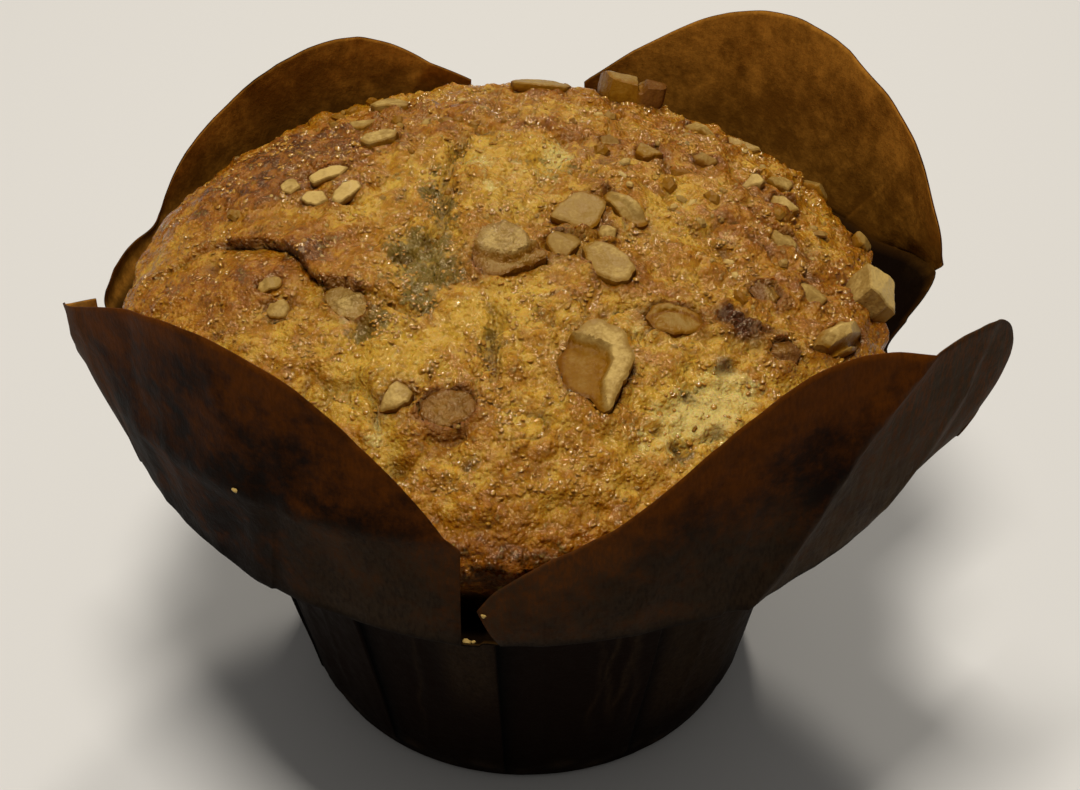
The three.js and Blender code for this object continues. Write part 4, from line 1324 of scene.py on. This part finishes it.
# Steps over the same plan: what lies on the right of the course is lower by so many mm, and browner by so
# much, and darker still along the course as painted shade.
STEPS = {
    "hooked_half": [
        (1, 0.65, [(2.2, -19.6), (4.4, -18.7), (6.1, -19.3), (7.9, -20.1), (8.1, -21.7), (7.3, -24.3),
                   (7.3, -28.6)]),
    ],
    "walnut_centre": [
        (0.45, 0.2, WALNUT_GROOVE),
        (0.3, 0.2, [(1.4, -9.3), (1.1, -7), (1.2, -4.4), (0.4, -2)]),
    ],
}

# Pieces whose top leans a known way: its slope, and the azimuth it falls towards.
LEANS = {"walnut_centre": (0.28, -110), "hooked_half": (0.14, 190), "cube_chunk_right": (0.3, -30)}

# Pieces that stand high enough to show sides of their own colour.
TALL = ("chunk_back", "cube_chunk_right", "chunk_right")

# Pieces that the glaze ran over: lumpy and glossy, where the others are dry.
GLAZED = ("sunken_chunk", "brown_bit_right", "dark_chunk_right", "walnut_centre", "pink_chunk_left")
print(len(RIDGES), "pieces with ridges,", len(STEPS), "with steps,", len(GLAZED), "under glaze")

# %% Top of a piece
DEEPEST = 4                # mm from a top to its lowest edge, where the piece sets no less


def nut_top(nut, x, y, random):
    """Height of a nut's top over its plane, and how much its colour darkens at each point, from toasting
    and from painted shade, less on a ridge's painted highlight.
    """
    full = nut.high[2] * TOP_SHARE
    facets = 1 if nut.level > 0.85 else 2 if nut.level > 0.55 else 3
    turn = random.uniform(0, 2 * math.pi)
    top = np.full(x.shape, full)
    for number in range(facets):
        way = turn + number * 2 * math.pi / facets + random.uniform(-0.5, 0.5)
        slope = random.uniform(0.7, 1.2) * (1.1 - nut.level)
        start = nut.reach.mean() * random.uniform(-0.1, 0.3)
        if nut.name in LEANS:
            slope, way, start = LEANS[nut.name][0], math.radians(LEANS[nut.name][1]), 0
        top = np.minimum(top, full - slope * (x * math.cos(way) + y * math.sin(way) - start))
    browner_and_shade = 0.3 * ease((full - top) / 1.2)
    for height, half_width, left, course in RIDGES.get(nut.name, []):
        course = (np.array(course) - nut.drawn_middle) * nut.fit
        away, _ = distance_to_path(x, y, course)
        far = np.hypot(x - course[0][0], y - course[0][1])
        fade = 1 - (1 - left) * np.clip(far / np.hypot(*(course[-1] - course[0])), 0, 1)
        ridge = ease((1.3 - away / half_width) * 1.6)
        top = top + height * fade * ridge
        # A groove is painted darker, as painted shade, and a ridge paler, as a painted highlight.
        browner_and_shade = browner_and_shade - (0.2 if height > 0 else -0.5) * ridge
    for lower, brown, course in STEPS.get(nut.name, []):
        away, side = distance_to_path(x, y, (np.array(course) - nut.drawn_middle) * nut.fit)
        over = ease(0.5 - side * away / 0.7)
        top = top - lower * over
        browner_and_shade = browner_and_shade + brown * over * (1 + 0.5 * np.exp(-away / 1.2))
    stand = DEEPEST if nut.stand is None else nut.stand
    return np.maximum(top, full - stand + 0.15), browner_and_shade


print("the centre slice is", round(nuts["slice_centre"].high[2] * TOP_SHARE, 1), "mm over its middle")

# %% Rings of a piece
# Each ring has its part of the outline's reach and its share of the way down the side.
TOP_RINGS = np.concatenate([np.linspace(0.08, 0.88, 11), [0.93, 0.97, 1.0]])
SIDE_RINGS = [(1.01, 0.35), (0.99, 0.6), (0.9, 0.8), (0.6, 0.95), (0.25, 1)]
RINGS = [(part, 0.0) for part in TOP_RINGS] + SIDE_RINGS


def nut_faces():
    """Faces between a middle point, the rings, and a last point below."""
    faces, last = [], 1 + len(RINGS) * TURNS
    for i in range(TURNS):
        j = (i + 1) % TURNS
        faces.append((0, 1 + i, 1 + j))
        for ring in range(len(RINGS) - 1):
            a, b = 1 + ring * TURNS, 1 + (ring + 1) * TURNS
            faces.append((a + i, b + i, b + j, a + j))
        a = 1 + (len(RINGS) - 1) * TURNS
        faces.append((a + j, a + i, last))
    return faces


print(len(RINGS), "rings of", TURNS, "points in each piece, and", len(nut_faces()), "faces")

# %% Whole shape of a piece
EDGE_DROP = 0.14           # mm that the top is rounded off at its edge
GLAZED_LUMPS = 3.5         # how much lumpier a glazed piece is


def nut_points(nut, seed):
    """Points of one piece in mm, and how toasted and how covered in skin each is."""
    random = np.random.default_rng(seed)
    around = np.stack([np.cos(ANGLES), np.sin(ANGLES), 0 * ANGLES], -1)
    rough = 1 + 0.06 * noise_at(around, 0.4, seed) + 0.05 * noise_at(around, 0.15, seed + 1)
    ring_part, ring_down = np.repeat(np.array(RINGS), TURNS, axis=0).T
    ring_reach = ring_part * np.tile(nut.reach * rough, len(RINGS))
    ring_angle = np.tile(ANGLES, len(RINGS))
    flat = np.stack([ring_reach * np.cos(ring_angle), ring_reach * np.sin(ring_angle)], -1)
    flat = np.concatenate([[[0, 0]], flat, [[0, 0]]])
    part = np.concatenate([[0], ring_part, [0]])
    drop = np.concatenate([[0], ring_down, [1]])
    top, browner_and_shade = nut_top(nut, flat[:, 0], flat[:, 1], random)
    edge = top[1 + (len(TOP_RINGS) - 1) * TURNS:][:TURNS]
    from_edge = np.concatenate([[edge.mean()], np.tile(edge, len(RINGS)), [edge.mean()]])
    low = nut.low[2]
    top = np.maximum(top - EDGE_DROP * ease((part - 0.9) / 0.1), low * 0.4)
    height = np.where(drop > 0, from_edge - EDGE_DROP + (low - from_edge) * drop, top)
    local = np.column_stack([flat + nut.center, height])
    lumpy = GLAZED_LUMPS if nut.name in GLAZED else 1
    local += 0.05 * lumpy * np.column_stack([noise_at(local, 1.1, seed + k) for k in (1, 2, 3)])
    local[:, 2] += 0.04 * lumpy * noise_at(local, 0.45, seed + 4)
    points = nut.middle + local @ nut.axes
    side = (0.45 + 0.9 * drop) * (0.45 if nut.name in TALL else 1)
    tone = nut.toasted + browner_and_shade + side * (drop > 0) + 0.4 * ease((part - 0.8) / 0.2) * (drop == 0)
    bare = noise_at(points, 2.2, seed + 6)
    skinned = np.clip(nut.skin * 1.6 * ease(0.5 + bare + browner_and_shade), 0, 1)
    if nut.name == "chunk_back":           # its skin covers exactly one side of the groove
        skinned = ease((flat[:, 0] - 1.0) / 0.4)
    return points, np.clip(tone, 0, 1.5), skinned


print("skin on", ", ".join(name for name, nut in nuts.items() if nut.skin >= 0.3))

# %% [markdown]
# ## Pieces of nut: what they look like
#
# The inside of a nut is cream where it stayed pale and golden where it toasted, and its
# edges and low places toast first. Bits of papery skin are brown. Its oil gives it only
# a dull sheen, unless the glaze ran over it, so there are two finishes from one recipe:
# a dry one and a glossy, lumpy one.

# %% Nut materials
NUT_CREAM = (0.56, 0.375, 0.115)
NUT_TAN = (0.31, 0.180, 0.042)
NUT_GOLD = (0.23, 0.096, 0.004)
NUT_GLAZED = (0.17, 0.060, 0.002)
NUT_SKIN = (0.15, 0.055, 0.009)


def nut_material(name, shine, rough_low, rough_high, lumpy):
    """Nut: cream where pale, golden where toasted, brown where its skin is left."""
    nut = Recipe(name)
    cloud = nut.noise(1.6, detail=3, rough=0.55)
    fine = nut.noise(0.4, detail=3, rough=0.6)
    tone = nut.uneven(nut.painted("toasted"), (cloud, 0.3, 0.7, 0.14), (fine, 0.3, 0.7, 0.06))
    color = nut.mix(nut.spread(tone, 0.0, 0.5), NUT_CREAM, NUT_TAN)
    color = nut.mix(nut.spread(tone, 0.5, 1.0), color, NUT_GOLD)
    color = nut.mix(nut.spread(tone, 0.9, 1.35), color, NUT_GLAZED)
    skin = nut.math("MULTIPLY", nut.painted("skin"), nut.spread(fine, 0.25, 0.5, 0.6, 1.0))
    color = nut.mix(skin, color, NUT_SKIN)
    roughness = nut.spread(cloud, 0.3, 0.7, rough_high, rough_low)
    normal = nut.bump((cloud, 0.16 + lumpy), (fine, 0.07 + 0.5 * lumpy))
    return nut.finish(color, roughness, normal, Specular_IOR_Level=shine, Specular_Tint=GLINT_TINT)


toasted_nut = nut_material("toasted_nut", shine=0.14, rough_low=0.34, rough_high=0.5, lumpy=0.0)
glazed_nut = nut_material("glazed_nut", shine=0.4, rough_low=0.10, rough_high=0.5, lumpy=0.22)
print("nut in", len(toasted_nut.node_tree.nodes), "nodes")

# %% Make the nuts
FIRST_SEED, SEED_STEP = 40, 7
CRISP = math.radians(34)   # an edge sharper than this stays crisp

faces = nut_faces()
for number, nut in enumerate(nuts.values()):
    points, tone, skinned = nut_points(nut, FIRST_SEED + SEED_STEP * number)
    finish = glazed_nut if nut.name in GLAZED else toasted_nut
    piece = add_object("nut_" + nut.name, points, faces, [finish])
    piece.data.set_sharp_from_angle(angle=CRISP)
    add_attribute(piece, "toasted", tone)
    add_attribute(piece, "skin", skinned)
    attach(piece, "root")
    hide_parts(nut.name)
print(len(nuts), "pieces of nut made, each of", len(faces), "faces")

# %% [markdown]
# ## Nut dust and sugar beads
#
# Chopped nuts always bring their dust, flakes of half a millimetre to a millimetre that
# settle round the larger pieces. Over the glaze, melted sugar also stands in tiny
# beads, and those give the crust its sparkle. Both are hundreds of nearly equal things
# on a surface, so one node tree strews them: it spreads points where a painted mask
# allows, puts a turned and stretched grain on each, and makes them real geometry.

# %% Strewing tree
GRAIN_RINGS = 4


def strewing_tree():
    """Geometry Nodes: strews stretched grains over a surface where it is painted."""
    tree = bpy.data.node_groups.new("strew_grains", "GeometryNodeTree")
    for name, kind in (("Surface", "Geometry"), ("Grains per cm2", "Float"), ("Smallest", "Float"),
                       ("Largest", "Float"), ("Thinness", "Float"), ("Tumble", "Float"),
                       ("Sides", "Int"), ("Seed", "Int"), ("Finish", "Material")):
        tree.interface.new_socket(name, in_out="INPUT", socket_type="NodeSocket" + kind)
    tree.interface.new_socket("Grains", in_out="OUTPUT", socket_type="NodeSocketGeometry")

    def add(kind, inputs, output=0, **settings):
        return add_node(tree, kind, inputs, output, **settings)

    def times(first, second):
        return add("ShaderNodeMath", {0: first, 1: second}, operation="MULTIPLY")

    def vector(x, y, z):
        return add("ShaderNodeCombineXYZ", {0: x, 1: y, 2: z})

    def random_number(low, high):
        return add("FunctionNodeRandomValue", {2: low, 3: high, "Seed": seed}, 1, data_type="FLOAT")

    def random_vector(low, high):
        return add("FunctionNodeRandomValue", {0: low, 1: high, "Seed": seed}, data_type="FLOAT_VECTOR")

    given = tree.nodes.new("NodeGroupInput").outputs
    seed, tumble = given["Seed"], given["Tumble"]
    painted = add("GeometryNodeInputNamedAttribute", {"Name": "where"}, "Attribute", data_type="FLOAT")
    per_square_metre = times(times(given["Grains per cm2"], painted), 10000)
    points = add("GeometryNodeDistributePointsOnFaces",
                 {"Mesh": given["Surface"], "Density": per_square_metre, "Seed": seed}, "Points")
    ball = add("GeometryNodeMeshUVSphere",
               {"Segments": given["Sides"], "Rings": GRAIN_RINGS, "Radius": 0.5}, "Mesh")
    grain = add("GeometryNodeTransform",
                {"Geometry": ball, "Scale": vector(1, 1, given["Thinness"])}, "Geometry")
    size = add("ShaderNodeVectorMath",
               {0: random_vector((0.7, 0.55, 0.7), (1.3, 1.0, 1.2)),
                "Scale": random_number(given["Smallest"], given["Largest"])}, operation="SCALE")
    back = times(tumble, -1)
    turn = random_vector(vector(back, back, 0), vector(tumble, tumble, 6.28))
    grains = add("GeometryNodeInstanceOnPoints",
                 {"Points": points, "Instance": grain, "Rotation": turn, "Scale": size}, "Instances")
    grains = add("GeometryNodeStoreNamedAttribute",
                 {"Geometry": grains, "Name": "toasted", "Value": random_number(0.0, 1.1)},
                 "Geometry", data_type="FLOAT", domain="INSTANCE")
    grains = add("GeometryNodeRealizeInstances", {"Geometry": grains}, "Geometry")
    grains = add("GeometryNodeSetMaterial",
                 {"Geometry": grains, "Material": given["Finish"]}, "Geometry")
    tree.links.new(grains, tree.nodes.new("NodeGroupOutput").inputs["Grains"])
    return tree


strewing = strewing_tree()
print("strewing tree with", len(strewing.nodes), "nodes")

# %% Strew grains
def strew(name, points, faces, where, settings):
    """Strews grains over a surface and returns them as one plain object."""
    surface = add_object(name + "_surface", points, faces, [])
    add_attribute(surface, "where", where)
    modifier = surface.modifiers.new("strew", "NODES")
    modifier.node_group = strewing
    for item in strewing.interface.items_tree:
        if item.in_out == "INPUT" and item.name in settings:
            modifier[item.identifier] = settings[item.name]
    bpy.context.view_layer.update()
    evaluated = surface.evaluated_get(bpy.context.evaluated_depsgraph_get())
    mesh = bpy.data.meshes.new_from_object(evaluated)
    mesh.name = name
    surface.modifiers.remove(modifier)
    bpy.data.objects.remove(surface)
    grains = bpy.data.objects.new(name, mesh)
    bpy.context.scene.collection.objects.link(grains)
    return grains


crown_faces = [face for face in crust_faces if max(face) < crown_count]
inside = ease((edge_part - 0.08) / 0.12) * (crack_shade < 0.5)
print(len(crown_faces), "faces to strew on,", round(100 * float(inside.mean())), "% of them open")

# %% Nut dust and crumbs
# Each place: x, y, radius along x and y in mm, and how thickly it is covered.
DUSTY = [(12, 6, 18, 14, 1.0), (24, -6, 12, 12, 0.9), (-22, 8, 8, 8, 0.9), (-14, 24, 10, 8, 0.8),
         (-22, -9, 8, 6, 0.7), (0, -26, 10, 8, 0.4)]
CRUMBLY = [(21, 14, 13, 12, 1.0), (27, 0, 9, 9, 0.8), (-22, 7, 7, 5, 0.8), (-16, 25, 9, 7, 0.8),
           (2, 24, 12, 8, 0.5), (-21, -9, 5, 4, 0.6)]

dusty = np.clip(0.15 + 0.85 * spots(crown[:, 0], crown[:, 1], DUSTY), 0, 1)
dust_where = inside * dusty * ease(0.5 + 1.6 * noise_at(crown, 5, 51))
nut_dust = strew("nut_dust", moved, crown_faces, dust_where, {
    "Grains per cm2": 9.0, "Smallest": 0.4 * MM, "Largest": 1.1 * MM, "Thinness": 0.45,
    "Tumble": 0.7, "Sides": 5, "Seed": 5, "Finish": toasted_nut})
crumb_where = inside * (halo_glaze_and_shade < 0.1) * spots(crown[:, 0], crown[:, 1], CRUMBLY)
nut_crumbs = strew("nut_crumbs", moved, crown_faces, crumb_where, {
    "Grains per cm2": 7.0, "Smallest": 1.1 * MM, "Largest": 2.3 * MM, "Thinness": 0.5,
    "Tumble": 0.5, "Sides": 5, "Seed": 11, "Finish": toasted_nut})
for grains in (nut_crumbs, nut_dust):
    add_attribute(grains, "skin", np.zeros(len(grains.data.vertices)))
    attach(grains, "root")
    print(grains.name, "has", len(grains.data.polygons) // (5 * GRAIN_RINGS), "grains")

# %% Sugar beads
def bead_material():
    bead = Recipe("sugar_bead")
    tint = bead.mix(bead.noise(3, detail=2), (0.36, 0.14, 0.006), (0.50, 0.26, 0.025))
    roughness = bead.spread(bead.noise(1, detail=1), 0.3, 0.7, 0.05, 0.16)
    normal = bead.bump((bead.noise(0.3, detail=1), 0.02))
    return bead.finish(tint, roughness, normal, Specular_IOR_Level=1.0)


bead_where = inside * glaze * (berry < 0.3) * ease(0.4 + 1.8 * noise_at(crown, 3.2, 52))
sugar_beads = strew("sugar_beads", moved, crown_faces, bead_where, {
    "Grains per cm2": 190.0, "Smallest": 0.3 * MM, "Largest": 0.85 * MM, "Thinness": 0.35,
    "Tumble": 0.5, "Sides": 8, "Seed": 8, "Finish": bead_material()})
sugar_beads.data.shade_smooth()
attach(sugar_beads, "root")
print(sugar_beads.name, "has", len(sugar_beads.data.polygons) // (8 * GRAIN_RINGS), "beads")

# %% [markdown]
# ## Crumbs on the paper
#
# A few pale crumbs fell off the nuts while the cup was filled and stuck to the greasy
# paper, most of them near the front slit. Each is a flattened, uneven grain that lies
# against the sheet. There are only six, so they are placed one by one.

# %% Crumbs on the paper
# Azimuth and height of each crumb, the side of the sheet (1 outside, -1 inside), then its
# length, width and thickness in mm.
PAPER_CRUMBS = [
    (271, 29.6, 1, 1.6, 1, 0.4), (269.2, 30, 1, 0.7, 0.5, 0.3), (262.7, 40.6, -1, 0.9, 0.7, 0.6),
    (263.6, 41.2, -1, 0.6, 0.5, 0.5), (265, 46.2, 1, 0.5, 0.4, 0.3), (232.8, 55.7, 1, 0.6, 0.5, 0.3),
]

UNEVEN = 0.8          # how far each crumb strays from a ball
CLEAR = 0.3           # part of its thickness that a crumb's middle stands off the sheet

paper_out = outward(paper_points, paper_faces)
crumb_points, crumb_faces = [], []
for number, (azimuth, height, side, *sizes) in enumerate(PAPER_CRUMBS):
    nearest = np.argmin(np.hypot((paper_azimuth - azimuth) * ARC, paper_height - height))
    out = paper_out[nearest] * side
    along = np.cross([0, 0, 1], out) / np.linalg.norm(np.cross([0, 0, 1], out))
    ball = bmesh.new()
    bmesh.ops.create_icosphere(ball, subdivisions=2, radius=0.5)
    shape = np.array([v.co[:] for v in ball.verts])
    shape *= 1 + UNEVEN * noise_at(shape, 0.45, 61 + number)[:, None]
    shape = shape * np.array(sizes) @ np.array([along, np.cross(out, along), out])
    crumb_faces += [tuple(len(crumb_points) + v.index for v in face.verts) for face in ball.faces]
    crumb_points += list(shape + paper_points[nearest] + out * sizes[2] * CLEAR)
    ball.free()
paper_crumbs = add_object("crumbs_on_paper", crumb_points, crumb_faces, [toasted_nut])
add_attribute(paper_crumbs, "toasted", np.zeros(len(crumb_points)))
add_attribute(paper_crumbs, "skin", np.zeros(len(crumb_points)))
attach(paper_crumbs, "root")
print(len(PAPER_CRUMBS), "crumbs on the paper")

# %% [markdown]
# ## Closing up
#
# The finished object is measured again, so its size can be compared with the model's.

# %% Measure the finished object
visual_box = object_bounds()
visual_low, visual_high = (np.array(corner) / MM for corner in visual_box)
print("the object spans", np.round(visual_high - visual_low, 1), "mm")
print("the plain model spans", np.round(cad_high - cad_low, 1), "mm")
